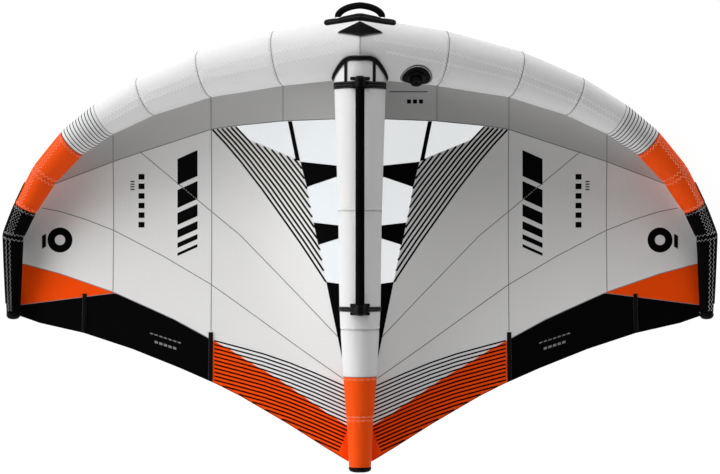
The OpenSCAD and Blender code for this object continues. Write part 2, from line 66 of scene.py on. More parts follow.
def tab(t, x): t = np.array(t, float); return np.interp(x, t[:, 0], t[:, 1])
def le_c(i):
    k = abs(i); s = -1 if i < 0 else 1
    return np.array([s * LE[k][0], LE[k][1], dih(LE[k][0])])
def le_t(i):
    v = np.zeros(3)
    if i < 9: v += unit(le_c(i + 1) - le_c(i))
    if i > -9: v += unit(le_c(i) - le_c(i - 1))
    return unit(v)
def frame_at(t):
    e1 = unit(np.cross([0, 0, 1.0], t)); return e1, np.cross(t, e1)
ATT = []
for i in range(9):
    c, r = le_c(i), LE[i][2]; e1, _ = frame_at(le_t(i))
    ATT.append([c[0] - (0 if i == 0 else 0.35 * r * e1[0]), c[1] - 0.35 * r * e1[1], c[2] - 0.937 * r - 1.2])
ATT = np.array(ATT)
def y_at(x): return np.interp(x, ATT[:, 0], ATT[:, 1])
def z_at(x): return np.interp(x, ATT[:, 0], ATT[:, 2])
def y_te(x): return tab(TE, x)
def z_te(x): return 2 - 0.289 * x
def y_fs(x): return np.minimum(tab(FRONT_SEAM, x), y_at(x) - 2)
def bulge(t):
    t = np.clip(t, 0, 1); return np.power(t, 0.7) * np.power(1 - t, 1.2) / 0.2864
def camber(x): return 12 + 85 * (1 - np.exp(-(x / 260) ** 2)) * np.maximum(0, 1 - (x / 1290) ** 3)
def cloth_z(x, y):
    x = np.abs(np.asarray(x, float)); y = np.asarray(y, float)
    t = (y_at(x) - y) / (y_at(x) - y_te(x)); t = np.clip(t, 0, 1)
    return z_at(x) * (1 - t) + z_te(x) * t - camber(x) * bulge(t)
def px(p):
    """A point on the canopy given in the picture's units of view (720 wide) as wing x, y; left half gives positive x."""
    u, v = p; x, y = (360 - u) * MM_PX, (237 - v) * MM_PX
    for _ in range(4):
        f = 1 - float(cloth_z(x, y)) / CAM_D
        x, y = (360 - u) * MM_PX * f, (237 - v) * MM_PX * f
    return [x, y]

# ------------------------------------------------------------------ materials
def new_mat(name):
    m = bpy.data.materials.new(name); m.use_nodes = True
    nt = m.node_tree; b = nt.nodes["Principled BSDF"]
    return m, nt, b
def N(nt, kind, **kw):
    n = nt.nodes.new(kind)
    for k, v in kw.items():
        if k in n.bl_rna.properties: setattr(n, k, v)
        else: n.inputs[k].default_value = v
    return n
def cloth_mat(name, col, rough=0.6, weave=0.0016, grid=None, mottle=0.03, bump=0.25, sheen=0.0, spec=0.35, speck=None, grid_dark=0.9):
    """Woven cloth: threads of pitch weave (m), an optional ripstop grid, slow colour variation, over metre UVs."""
    m, nt, b = new_mat(name); L = nt.links.new
    uv = N(nt, "ShaderNodeUVMap", uv_map="UVMap")
    sep = N(nt, "ShaderNodeSeparateXYZ"); L(uv.outputs[0], sep.inputs[0])
    hs = []
    for k in (0, 1):
        a = N(nt, "ShaderNodeMath", operation="MULTIPLY"); a.inputs[1].default_value = 2 * math.pi / weave
        L(sep.outputs[k], a.inputs[0])
        s = N(nt, "ShaderNodeMath", operation="SINE"); L(a.outputs[0], s.inputs[0]); hs.append(s)
    mul = N(nt, "ShaderNodeMath", operation="MULTIPLY"); L(hs[0].outputs[0], mul.inputs[0]); L(hs[1].outputs[0], mul.inputs[1])
    height = mul
    noise = N(nt, "ShaderNodeTexNoise"); noise.inputs["Scale"].default_value = 3.5; noise.inputs["Detail"].default_value = 4
    L(uv.outputs[0], noise.inputs["Vector"])
    fine = N(nt, "ShaderNodeTexNoise"); fine.inputs["Scale"].default_value = speck or 260; fine.inputs["Detail"].default_value = 2
    L(uv.outputs[0], fine.inputs["Vector"])
    ramp = N(nt, "ShaderNodeMapRange"); ramp.inputs["To Min"].default_value = 1 - mottle; ramp.inputs["To Max"].default_value = 1 + mottle * 0.4
    L(noise.outputs["Fac"], ramp.inputs["Value"])
    ramp2 = N(nt, "ShaderNodeMapRange"); ramp2.inputs["From Min"].default_value = 0.3; ramp2.inputs["From Max"].default_value = 0.7
    ramp2.inputs["To Min"].default_value = 1 - mottle * 1.3; ramp2.inputs["To Max"].default_value = 1
    L(fine.outputs["Fac"], ramp2.inputs["Value"])
    fac = N(nt, "ShaderNodeMath", operation="MULTIPLY"); L(ramp.outputs[0], fac.inputs[0]); L(ramp2.outputs[0], fac.inputs[1])
    if grid:
        lines = []
        for k in (0, 1):
            a = N(nt, "ShaderNodeMath", operation="MULTIPLY"); a.inputs[1].default_value = 1 / grid; L(sep.outputs[k], a.inputs[0])
            f = N(nt, "ShaderNodeMath", operation="FRACT"); L(a.outputs[0], f.inputs[0])
            l = N(nt, "ShaderNodeMath", operation="LESS_THAN"); l.inputs[1].default_value = 0.16; L(f.outputs[0], l.inputs[0]); lines.append(l)
        mx = N(nt, "ShaderNodeMath", operation="MAXIMUM"); L(lines[0].outputs[0], mx.inputs[0]); L(lines[1].outputs[0], mx.inputs[1])
        gr = N(nt, "ShaderNodeMapRange"); gr.inputs["To Min"].default_value = 1; gr.inputs["To Max"].default_value = grid_dark; L(mx.outputs[0], gr.inputs["Value"])
        f2 = N(nt, "ShaderNodeMath", operation="MULTIPLY"); L(fac.outputs[0], f2.inputs[0]); L(gr.outputs[0], f2.inputs[1]); fac = f2
        ad = N(nt, "ShaderNodeMath", operation="ADD"); L(mul.outputs[0], ad.inputs[0]); L(mx.outputs[0], ad.inputs[1]); height = ad
    vm = N(nt, "ShaderNodeVectorMath", operation="SCALE"); vm.inputs[0].default_value = col; L(fac.outputs[0], vm.inputs["Scale"])
    L(vm.outputs[0], b.inputs["Base Color"])
    rr = N(nt, "ShaderNodeMapRange"); rr.inputs["To Min"].default_value = rough - 0.06; rr.inputs["To Max"].default_value = rough + 0.08
    L(fine.outputs["Fac"], rr.inputs["Value"]); L(rr.outputs[0], b.inputs["Roughness"])
    add2 = N(nt, "ShaderNodeMath", operation="ADD"); L(height.outputs[0], add2.inputs[0]); L(fine.outputs["Fac"], add2.inputs[1])
    bp = N(nt, "ShaderNodeBump"); bp.inputs["Strength"].default_value = bump; bp.inputs["Distance"].default_value = 0.0004
    L(add2.outputs[0], bp.inputs["Height"]); L(bp.outputs[0], b.inputs["Normal"])
    b.inputs["Specular IOR Level"].default_value = spec
    if sheen: b.inputs["Sheen Weight"].default_value = sheen; b.inputs["Sheen Roughness"].default_value = 0.4
    return m
def plain_mat(name, col, rough=0.5, scale=300, bump=0.15, mottle=0.06, metal=0.0, spec=0.4, coat=0.0, dist=0.0003):
    """Moulded or coated surface: fine grain in object space, slight tone and gloss variation."""
    m, nt, b = new_mat(name); L = nt.links.new
    tc = N(nt, "ShaderNodeTexCoord")
    fine = N(nt, "ShaderNodeTexNoise"); fine.inputs["Scale"].default_value = scale; fine.inputs["Detail"].default_value = 3
    big = N(nt, "ShaderNodeTexNoise"); big.inputs["Scale"].default_value = 9; big.inputs["Detail"].default_value = 3
    L(tc.outputs["Object"], fine.inputs["Vector"]); L(tc.outputs["Object"], big.inputs["Vector"])
    r = N(nt, "ShaderNodeMapRange"); r.inputs["To Min"].default_value = 1 - mottle; r.inputs["To Max"].default_value = 1 + mottle
    L(big.outputs["Fac"], r.inputs["Value"])
    vm = N(nt, "ShaderNodeVectorMath", operation="SCALE"); vm.inputs[0].default_value = col; L(r.outputs[0], vm.inputs["Scale"])
    L(vm.outputs[0], b.inputs["Base Color"])
    rr = N(nt, "ShaderNodeMapRange"); rr.inputs["To Min"].default_value = max(0.02, rough - 0.08); rr.inputs["To Max"].default_value = rough + 0.1
    L(big.outputs["Fac"], rr.inputs["Value"]); L(rr.outputs[0], b.inputs["Roughness"])
    bp = N(nt, "ShaderNodeBump"); bp.inputs["Strength"].default_value = bump; bp.inputs["Distance"].default_value = dist
    L(fine.outputs["Fac"], bp.inputs["Height"]); L(bp.outputs[0], b.inputs["Normal"])
    b.inputs["Metallic"].default_value = metal; b.inputs["Specular IOR Level"].default_value = spec
    b.inputs["Coat Weight"].default_value = coat
    return m

M = {}
M["dacron"] = cloth_mat("dacron_white", (0.78, 0.78, 0.78), 0.55, weave=0.0012, mottle=0.05, bump=0.35, speck=170, spec=0.4)
M["dacron_strut"] = cloth_mat("dacron_white_strut", (0.79, 0.79, 0.79), 0.55, weave=0.0012, mottle=0.05, bump=0.35, speck=170, spec=0.4)
M["dacron_orange"] = cloth_mat("dacron_orange", (0.97, 0.088, 0.004), 0.55, weave=0.0012, mottle=0.05, bump=0.3, spec=0.06)
M["dacron_black"] = cloth_mat("dacron_black", (0.0022, 0.0022, 0.0025), 0.65, weave=0.0014, mottle=0.1, bump=0.4, spec=0.02)
M["canopy"] = cloth_mat("ripstop_white", (0.83, 0.825, 0.815), 0.5, weave=0.001, grid=0.007, mottle=0.025, bump=0.2, spec=0.35, grid_dark=0.915)
# front band behind the tube: its darker grey is partly the fabric's own tone and partly painted shade for the shadow
# the tube casts on the band
M["canopy_front"] = cloth_mat("ripstop_grey_with_painted_shade", (0.56, 0.555, 0.55), 0.5, weave=0.001, grid=0.007, mottle=0.03, bump=0.2, spec=0.3, grid_dark=0.87)
M["canopy_hatch"] = cloth_mat("ripstop_hatch_ground", (0.83, 0.83, 0.83), 0.5, weave=0.001, grid=0.007, mottle=0.02, bump=0.2, spec=0.35, grid_dark=0.93)
M["canopy_orange"] = cloth_mat("ripstop_orange", (0.98, 0.078, 0.002), 0.5, weave=0.001, grid=0.007, mottle=0.03, bump=0.2, spec=0.03, grid_dark=0.95)
M["canopy_red"] = cloth_mat("ripstop_deep_orange", (0.94, 0.055, 0.002), 0.5, weave=0.001, grid=0.007, mottle=0.03, bump=0.2, spec=0.03, grid_dark=0.95)
M["canopy_black"] = cloth_mat("ripstop_black", (0.0016, 0.0016, 0.0018), 0.65, weave=0.001, grid=0.007, mottle=0.1, bump=0.2, spec=0.02, grid_dark=0.8)
M["ink"] = cloth_mat("printed_ink", (0.003, 0.003, 0.003), 0.55, weave=0.001, mottle=0.1, bump=0.15, spec=0.02)
M["seam"] = cloth_mat("seam_tape", (0.26, 0.26, 0.26), 0.6, weave=0.001, mottle=0.1, bump=0.2, spec=0.2)
M["webbing"] = cloth_mat("webbing_black", (0.004, 0.004, 0.0045), 0.65, weave=0.0026, mottle=0.15, bump=0.7, spec=0.06)
M["thread_white"] = plain_mat("thread_white", (0.75, 0.75, 0.74), 0.6, 900)
M["thread_orange"] = plain_mat("thread_on_orange", (0.95, 0.50, 0.36), 0.6, 900, spec=0.1)
M["thread_grey"] = plain_mat("thread_grey", (0.22, 0.22, 0.22), 0.6, 900, spec=0.1)
M["thread_on_black"] = plain_mat("thread_on_black", (0.72, 0.72, 0.72), 0.6, 900, spec=0.1)
M["thread_fine"] = plain_mat("thread_fine", (0.13, 0.13, 0.13), 0.6, 900, spec=0.1)
M["thread_pale"] = plain_mat("thread_on_white", (0.95, 0.95, 0.95), 0.6, 900)
M["rubber"] = plain_mat("rubber_black", (0.003, 0.003, 0.0034), 0.55, 500, 0.2, spec=0.05)
M["plastic"] = plain_mat("bracket_black", (0.003, 0.003, 0.0033), 0.42, 700, 0.2, spec=0.08)
M["foam"] = plain_mat("grip_foam", (0.002, 0.002, 0.0022), 0.75, 420, 0.8, dist=0.0006, spec=0.03)
M["anodised"] = plain_mat("boom_anodised", (0.012, 0.012, 0.013), 0.4, 800, 0.05, metal=0.8)
M["steel"] = plain_mat("screw_steel", (0.03, 0.03, 0.032), 0.35, 900, 0.1, metal=1.0)
M["valve"] = plain_mat("valve_black", (0.004, 0.004, 0.0045), 0.4, 600, 0.1, spec=0.1)
M["silicone"] = plain_mat("silicone", (0.7, 0.7, 0.68), 0.4, 300, 0.1)
M["bladder"] = plain_mat("bladder_film", (0.7, 0.78, 0.82), 0.3, 60, 0.2)
m, nt, b = new_mat("window_film")
film = N(nt, "ShaderNodeTexNoise"); film.inputs["Scale"].default_value = 5; film.inputs["Detail"].default_value = 2
tcx = N(nt, "ShaderNodeTexCoord"); nt.links.new(tcx.outputs["Object"], film.inputs["Vector"])
rmp = N(nt, "ShaderNodeValToRGB"); rmp.color_ramp.elements[0].color = (0.55, 0.67, 0.76, 1); rmp.color_ramp.elements[1].color = (0.62, 0.73, 0.81, 1)
nt.links.new(film.outputs["Fac"], rmp.inputs[0]); nt.links.new(rmp.outputs[0], b.inputs["Base Color"])
fb = N(nt, "ShaderNodeBump"); fb.inputs["Strength"].default_value = 0.15; fb.inputs["Distance"].default_value = 0.002
nt.links.new(film.outputs["Fac"], fb.inputs["Height"]); nt.links.new(fb.outputs[0], b.inputs["Normal"])
b.inputs["Alpha"].default_value = 0.2; b.inputs["Roughness"].default_value = 0.08; b.inputs["Specular IOR Level"].default_value = 0.5
M["film"] = m

# ------------------------------------------------------------------ mesh helpers
PIECES = []
def make(name, verts, faces, mat, uv=None, body="wing", slot=None, replaces=(), angle=40, fmat=None):
    """A piece from wing-frame millimetres."""
    me = bpy.data.meshes.new(name)
    v = place(np.asarray(verts, float))
    me.from_pydata(v.tolist(), [], [list(map(int, f)) for f in faces])
    mats = mat if isinstance(mat, (list, tuple)) else [mat]
    for k in mats: me.materials.append(M[k])
    if fmat is not None: me.polygons.foreach_set("material_index", np.asarray(fmat, np.int32))
    if uv is None: uv = np.asarray(verts, float)[:, :2] / 1000
    uv = np.asarray(uv, float)
    lay = me.uv_layers.new(name="UVMap")
    idx = np.zeros(len(me.loops), np.int32); me.loops.foreach_get("vertex_index", idx)
    lay.data.foreach_set("uv", uv[idx].astype(np.float32).ravel())
    me.polygons.foreach_set("use_smooth", np.ones(len(me.polygons), bool))
    me.validate(); me.update()
    bm = bmesh.new(); bm.from_mesh(me); bmesh.ops.recalc_face_normals(bm, faces=bm.faces)
    if bm.calc_volume(signed=True) < 0: bmesh.ops.reverse_faces(bm, faces=bm.faces)
    bm.to_mesh(me); bm.free()
    me.set_sharp_from_angle(angle=math.radians(angle))
    o = bpy.data.objects.new(name, me); sc.collection.objects.link(o)
    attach(o, body)
    if replaces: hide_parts(*replaces)
    PIECES.append(o)
    return o
class Bag:
    """Collects closed parts into one mesh."""
    def __init__(self): self.v, self.f, self.uv, self.m, self.n = [], [], [], [], 0
    def add(self, v, f, uv=None, mat=0):
        v = np.asarray(v, float)
        uv = v[:, :2] / 1000 if uv is None else np.asarray(uv, float)
        self.v.append(v); self.uv.append(uv)
        self.f += [[i + self.n for i in q] for q in f]; self.m += [mat] * len(f); self.n += len(v)
    def make(self, name, mats, **kw):
        return make(name, np.vstack(self.v), self.f, mats, uv=np.vstack(self.uv), fmat=self.m, **kw)
def loft(rings, caps=True, closed=False):
    """Quads through rings (m, n, 3). Fan caps at the ends unless closed."""
    R = np.asarray(rings, float); m, n = R.shape[:2]
    f = []
    for k in range(m if closed else m - 1):
        a, b_ = k * n, ((k + 1) % m) * n
        for i in range(n):
            j = (i + 1) % n; f.append([a + i, b_ + i, b_ + j, a + j])
    v = R.reshape(-1, 3)
    if caps and not closed:
        f.append(list(range(n - 1, -1, -1))); f.append([(m - 1) * n + i for i in range(n)])
    return v, f
def skin(P, Q):
    """A closed slab between two grids P (top) and Q (bottom), each (m, n, 3)."""
    P, Q = np.asarray(P, float), np.asarray(Q, float); m, n = P.shape[:2]; o = m * n
    f = []
    for i in range(m - 1):
        for j in range(n - 1):
            a, b_, c, d = i * n + j, (i + 1) * n + j, (i + 1) * n + j + 1, i * n + j + 1
            f.append([a, b_, c, d]); f.append([o + d, o + c, o + b_, o + a])
    for i in range(m - 1):
        f.append([i * n, o + i * n, o + (i + 1) * n, (i + 1) * n])
        e = n - 1; f.append([(i + 1) * n + e, o + (i + 1) * n + e, o + i * n + e, i * n + e])
    for j in range(n - 1):
        f.append([j + 1, o + j + 1, o + j, j]); e = (m - 1) * n
        f.append([e + j, o + e + j, o + e + j + 1, e + j + 1])
    return np.vstack([P.reshape(-1, 3), Q.reshape(-1, 3)]), f
def resample(p, step):
    p = np.asarray(p, float); d = np.r_[0, np.cumsum(np.linalg.norm(np.diff(p, axis=0), axis=1))]
    n = max(2, int(round(d[-1] / step)) + 1); s = np.linspace(0, d[-1], n)
    return np.stack([np.interp(s, d, p[:, k]) for k in range(p.shape[1])], 1)
def ribbon_on(points, fn, width, top, bottom, step=12, taper=None):
    """A flat ribbon along 2-D points; fn(x, y, d) gives the surface at height d. Returns a closed slab."""
    q = resample(points, step); t = np.gradient(q, axis=0); t /= np.linalg.norm(t, axis=1)[:, None] + 1e-12
    nrm = np.stack([-t[:, 1], t[:, 0]], 1)
    w = np.full(len(q), width / 2.0) if taper is None else width / 2 * np.interp(np.linspace(0, 1, len(q)), *taper)
    a, b_ = q + nrm * w[:, None], q - nrm * w[:, None]
    P = np.stack([fn(a[:, 0], a[:, 1], top), fn(b_[:, 0], b_[:, 1], top)], 1)
    Q = np.stack([fn(a[:, 0], a[:, 1], bottom), fn(b_[:, 0], b_[:, 1], bottom)], 1)
    v, f = skin(P, Q)
    uv = np.vstack([np.stack([a, b_], 1).reshape(-1, 2)] * 2) / 1000
    return v, f, uv
def on_cloth(x, y, d):
    return np.stack([x, y, cloth_z(x, y) + d], -1)

# ------------------------------------------------------------------ leading edge
def le_path(a, b, step=18):
    """Dense stations from seam a to seam b: centre, radius, tangent, arc length and distance to the nearest seam."""
    out = []
    for i in range(a, b):
        c0, c1 = le_c(i), le_c(i + 1); r0, r1 = LE[abs(i)][2], LE[abs(i + 1)][2]
        L = np.linalg.norm(c1 - c0); n = max(4, int(L / step))
        k = np.unique(np.r_[0, 4 / L, 10 / L, np.linspace(18 / L, 1 - 18 / L, n), 1 - 10 / L, 1 - 4 / L, 1])
        d = unit(c1 - c0)
        for u in k[:-1] if i < b - 1 else k:
            near = min(u, 1 - u) * L
            w = math.exp(-near / 22)
            t0 = le_t(i) if u < 0.5 else le_t(i + 1)
            t = unit(d * (1 - w) + t0 * w)
            out.append((c0 + (c1 - c0) * u, r0 + (r1 - r0) * u, t, near, i + u, L))
    return out
def le_skin(key, th, grow):
    """Points on the tube at a fractional seam number, for an array of angles and heights; also the outward directions."""
    i = max(-9, min(8, int(math.floor(key + 1e-9)))); u = key - i
    A, B = LE_FR[i + 9], LE_FR[i + 10]
    cs, sn = np.cos(th)[:, None], np.sin(th)[:, None]
    ra = A[3] * (cs * A[1] + sn * A[2]); rb = B[3] * (cs * B[1] + sn * B[2])
    rad = ra * (1 - u) + rb * u
    n = rad / np.linalg.norm(rad, axis=1)[:, None]
    c = A[0] * (1 - u) + B[0] * u
    return c + rad + n * np.asarray(grow).reshape(-1, 1), n
LE_FR = [(le_c(i), *frame_at(le_t(i)), LE[abs(i)][2]) for i in range(-9, 10)]
def le_puff(near, L):
    full = math.sin(math.pi * min(1, near / (L * 0.5)) * 0.5)
    return -1.3 * math.exp(-(near / 5) ** 2) + 0.9 * full, full
def le_rings(st, sides, grow=0.0, pucker=True):
    R, U = [], []
    s = 0; last = None
    th = np.linspace(0, 2 * math.pi, sides, endpoint=False)
    for c, r, t, near, key, L in st:
        if last is not None: s += np.linalg.norm(c - last)
        last = c
        d = np.full(sides, grow, float)
        if pucker:
            puff, full = le_puff(near, L)
            inner = 0.45 + 0.55 * np.clip(-np.cos(th), 0, 1)
            d = d + puff + inner * 1.0 * math.exp(-((near - 16) / 18) ** 2) * np.sin(th * 17 + key * 5.1) * np.sin(th * 5 + 1.3 * key)
        P, _ = le_skin(min(key, 9), th, d)
        R.append(P); U.append(np.stack([np.full(sides, s), th * r], 1))
    return np.array(R), np.array(U)
def le_tube(name, a, b, mat, slot, replaces, wall=1.2):
    st = le_path(a, b); O, U = le_rings(st, 72)
    I, _ = le_rings(st, 72, grow=-wall, pucker=False)
    m, n = O.shape[:2]; o = m * n; f = []
    for k in range(m - 1):
        for i in range(n):
            j = (i + 1) % n
            f.append([k * n + i, (k + 1) * n + i, (k + 1) * n + j, k * n + j])
            f.append([o + k * n + j, o + (k + 1) * n + j, o + (k + 1) * n + i, o + k * n + i])
    for i in range(n):
        j = (i + 1) % n; e = (m - 1) * n
        f.append([j, o + j, o + i, i]); f.append([e + i, o + e + i, o + e + j, e + j])
    V = np.vstack([O.reshape(-1, 3), I.reshape(-1, 3)]); uv = np.vstack([U.reshape(-1, 2)] * 2) / 1000
    return make(name, V, f, mat, uv=uv, slot=slot, replaces=replaces)
le_tube("le_casing_center_cloth", -5, 5, "dacron", "dacron_white", ["le_casing_center"])
for s, side in ((-1, "left"), (1, "right")):
    a, b_ = (5, 7) if s > 0 else (-7, -5)
    le_tube(f"le_casing_orange_{side}_cloth", a, b_, "dacron_orange", "dacron_orange", [f"le_casing_orange_{side}"])
    a, b_ = (7, 9) if s > 0 else (-9, -7)
    le_tube(f"le_casing_tip_{side}_cloth", a, b_, "dacron_black", "dacron_black", [f"le_casing_tip_{side}"])

def le_at(key, th, d=0.0):
    """A point on the tube: key is the seam number (fractional), th from outward towards the rider, in radians."""
    i = max(-9, min(8, int(math.floor(key + 1e-9)))); u = key - i
    L = np.linalg.norm(le_c(i + 1) - le_c(i)); near = max(0, min(u, 1 - u)) * L
    P, n = le_skin(key, np.array([th]), [d + le_puff(near, L)[0]])
    return P[0], LE[abs(i)][2] * (1 - u) + LE[abs(i + 1)][2] * u, n[0]
def thread(bag, pts, nrm, w=0.9, h=0.7, mat=0):
    """A flattened thread through points on a surface: triangular section, closed ends."""
    pts = np.asarray(pts, float); nrm = np.asarray(nrm, float)
    t = np.gradient(pts, axis=0); t /= np.linalg.norm(t, axis=1)[:, None] + 1e-12
    side = np.cross(t, nrm); side /= np.linalg.norm(side, axis=1)[:, None] + 1e-12
    R = np.stack([pts + side * w - nrm * 0.3, pts + nrm * h, pts - side * w - nrm * 0.3], 1)
    v, f = loft(R); uv = np.zeros((len(v), 2)); uv[:, 0] = v[:, 0] / 1000; uv[:, 1] = v[:, 1] / 1000
    bag.add(v, f, uv, mat)
def zig_along(bag, k0, k1, th0, th1, amp=4.0, pitch=9.0, **kw):
    """A zigzag row along the tube from seam k0 to k1 at angles th0 to th1 (degrees)."""
    keys = [k0]; steps = []
    n = 0; pts = []; nr = []
    k = k0; sgn = 1 if k1 > k0 else -1; q = 0
    while (k1 - k) * sgn > 0:
        i = int(math.floor(k if sgn > 0 else k - 1e-9)); L = np.linalg.norm(le_c(min(i + 1, 9)) - le_c(i))
        u = (k - k0) / (k1 - k0); _, r, _n = le_at(k, 0)
        th = math.radians(th0 + (th1 - th0) * u) + (amp / 2 / r) * (1 if q % 2 else -1)
        p, _, m_ = le_at(k, th, 0.5); pts.append(p); nr.append(m_)
        k += sgn * (pitch / 2) / L; q += 1
    thread(bag, pts, nr, **kw)
def zig_ring(bag, key, off, a0, a1, amp=4.0, pitch=9.0, **kw):
    """A zigzag row round the tube beside a seam, off mm along, from angle a0 to a1 in degrees."""
    i = int(math.floor(key + (1e-6 if off > 0 else -1e-6))); i = max(-9, min(8, i)); L = np.linalg.norm(le_c(i + 1) - le_c(i))
    _, r, _n = le_at(key, 0); n = max(4, int(math.radians(a1 - a0) * r / (pitch / 2)))
    pts, nr = [], []
    for q in range(n + 1):
        k = key + (off + amp / 2 * (1 if q % 2 else -1)) / L
        p, _, m_ = le_at(k, math.radians(a0 + (a1 - a0) * q / n), 0.5); pts.append(p); nr.append(m_)
    thread(bag, pts, nr, **kw)
def ring_line(bag, key, off, width, d0=0.45, sides=96, mat=0, a0=0, a1=360):
    i = max(-9, min(8, int(math.floor(key + (1e-6 if off >= 0 else -1e-6))))); L = np.linalg.norm(le_c(i + 1) - le_c(i))
    full = a1 - a0 >= 360
    ths = np.radians(np.linspace(a0, a1, sides + (0 if full else 1), endpoint=not full)); R = []
    for th in ths:
        row = []
        for k, d in ((key + (off - width / 2) / L, -1.0), (key + (off - width / 2) / L, d0), (key + (off + width / 2) / L, d0), (key + (off + width / 2) / L, -1.0)):
            row.append(le_at(k, th, d)[0])
        R.append(row)
    v, f = loft(R, caps=not full, closed=full); bag.add(v, f, None, mat)

white, orange_t, black_t, ink, seam = Bag(), Bag(), Bag(), Bag(), Bag()
Z = dict(amp=9.0, pitch=15.0, w=1.4, h=0.9)
ZO = dict(amp=9.5, pitch=15.0, w=0.85, h=0.7)
for s in (-1, 1):
    for k0, k1, a0, a1 in ((0.16, 1, 76, 79), (1, 2, 79, 87), (2, 3.98, 87, 88)): zig_along(white, s * k0, s * k1, a0, a1, **Z)
    for k0, k1, a0, a1 in ((0.3, 1, 96, 104), (1, 2, 104, 106), (2, 3.98, 106, 108)): zig_along(white, s * k0, s * k1, a0, a1, **Z)
    for th in (47, 61): zig_along(orange_t, s * 5.02, s * 6.98, th, th + 4, **ZO)
    for th in (47, 65, 83): zig_along(black_t, s * 7.02, s * 7.97, th, th, amp=10.5, pitch=14.5, w=0.5, h=0.7)
    for th in (50, 76): zig_along(black_t, s * 8.04, s * 8.97, th, th, amp=7.5, pitch=17.0, w=0.55, h=0.7)
    for k in (1, 2, 3):
        ring_line(seam, s * k, 0, 1.9, d0=1.5)
        for off in (-9, 9): zig_ring(white, s * k, off, 40, 178, **Z)
    zig_ring(white, s * 4, 8, 20, 178, amp=5.0, pitch=10.0, w=0.9)
    for k, off in ((5, 9), (6, -10), (6, 10), (7, -9)): zig_ring(orange_t, s * k, s * off, 12, 172, **ZO)
    for k, off in ((7, 9), (8, -10), (8, 10)): zig_ring(black_t, s * k, s * off, 12, 172, amp=7.5, pitch=14.5, w=0.5)
    for q in range(12): ring_line(ink, s * (4.005 + q * 0.0893), 0, 3.1 if q else 1.3, d0=0.7)
ring_line(seam, 0, 0, 1.6, d0=1.7, a0=-80, a1=112)
white.make("le_stitches_white", ["thread_pale"], slot="dacron_white")
orange_t.make("le_stitches_on_orange", ["thread_orange"], slot="dacron_orange")
black_t.make("le_stitches_on_black", ["thread_on_black"], slot="dacron_black")
ink.make("le_printed_rings", ["ink"], slot="dacron_black")
seam.make("le_seam_lines", ["seam"], slot="dacron_white")

# tip caps and scuff guards
for s, side in ((-1, "left"), (1, "right")):
    c = le_c(9) * [s, 1, 1]; R, U = [], []
    prof = [(0.0, 24.6), (0.6, 25.6), (3, 26.0), (7, 25.2), (11, 22.5), (14.2, 17.5), (16, 10), (16.6, 3)]
    for y, r in prof:
        th = np.linspace(0, 2 * math.pi, 48, endpoint=False)
        R.append(np.stack([c[0] + r * np.cos(th), np.full(48, c[1] + 6 - y * 1.35), c[2] + r * np.sin(th)], 1))
    v, f = loft(R); uv = np.stack([v[:, 0], v[:, 2]], 1) / 1000
    make(f"tip_cap_{side}", v, f, "rubber", uv=uv, slot="rubber_black", replaces=[f"le_tip_cap_{side}"])
    rows = []
    for q, k in enumerate(np.linspace(6.45, 8.86, 90)):
        w = 25 if 0.02 < q / 89 < 0.98 else 18
        rows.append([le_at(s * k, math.radians(a), 1.3 + (2.1 if abs(a) < w - 2 else 0.9)) [0] for a in np.linspace(-w, w, 11)])
    low = []
    for q, k in enumerate(np.linspace(6.45, 8.86, 90)):
        w = 25 if 0.02 < q / 89 < 0.98 else 18
        low.append([le_at(s * k, math.radians(a), 0.2)[0] for a in np.linspace(-w, w, 11)])
    v, f = skin(rows, low)
    make(f"scuff_guard_{side}", v, f, "rubber", uv=v[:, 1:] / 1000, slot="rubber_black", replaces=[f"tip_guard_{side}"])

# ------------------------------------------------------------------ canopy
ORANGE_LINE = [px(p) for p in [(208, 337.5), (213.4, 340.6), (230, 349.5), (251, 362.9), (276.5, 377.8), (302, 395.4), (327.6, 413.3), (345.4, 424.3), (352, 428.5), (360, 433.5)]]
STRIPE_TOP = [px(p) for p in [(212, 340), (238.3, 347), (263.8, 354), (289.3, 362.7), (314.8, 373), (346, 386.6)]]
def inc(points):
    p = np.array(points, float); return p[np.argsort(p[:, 0])]
ORANGE_LINE, STRIPE_TOP = inc(ORANGE_LINE), inc(STRIPE_TOP)
TEP = np.vstack([STRIPE_TOP, [px((174.6, 319.6)), px((150, 308.4)), px((113.3, 292)), [1104, -136], [1243, -100], [1264, -95]]])
WE = inc([px(p) for p in [(235.6, 127.2), (243.6, 137.6), (299.9, 160.5), (306.8, 186.9), (313, 220.8), (319.4, 246.6), (325.7, 279.3), (337.8, 336.1), (342.6, 358)]])
def y_lower(x): return np.interp(x, TEP[:, 0], TEP[:, 1])
def y_we(x): return np.minimum(np.interp(x, WE[:, 0], WE[:, 1]), y_fs(x) - 2)
def grid_x(a, b, marks, step=12.0):
    m = sorted({a, b, *[k for k in marks if a < k < b]}); out = []
    for p, q in zip(m[:-1], m[1:]):
        n = max(1, int(round((q - p) / step))); out += list(np.linspace(p, q, n, endpoint=False))
    return np.array(out + [b])
MARKS = [float(k[0]) for k in WE] + [60, 81, 122, 150, 194, 225, 423, 447, 279, 436, 540, 532, 805, 906, 902, 1060, 1140, 128, 258, 432, 520, 652, 830, 1011, 1178, 1104, 1243] + list(ATT[:, 0])
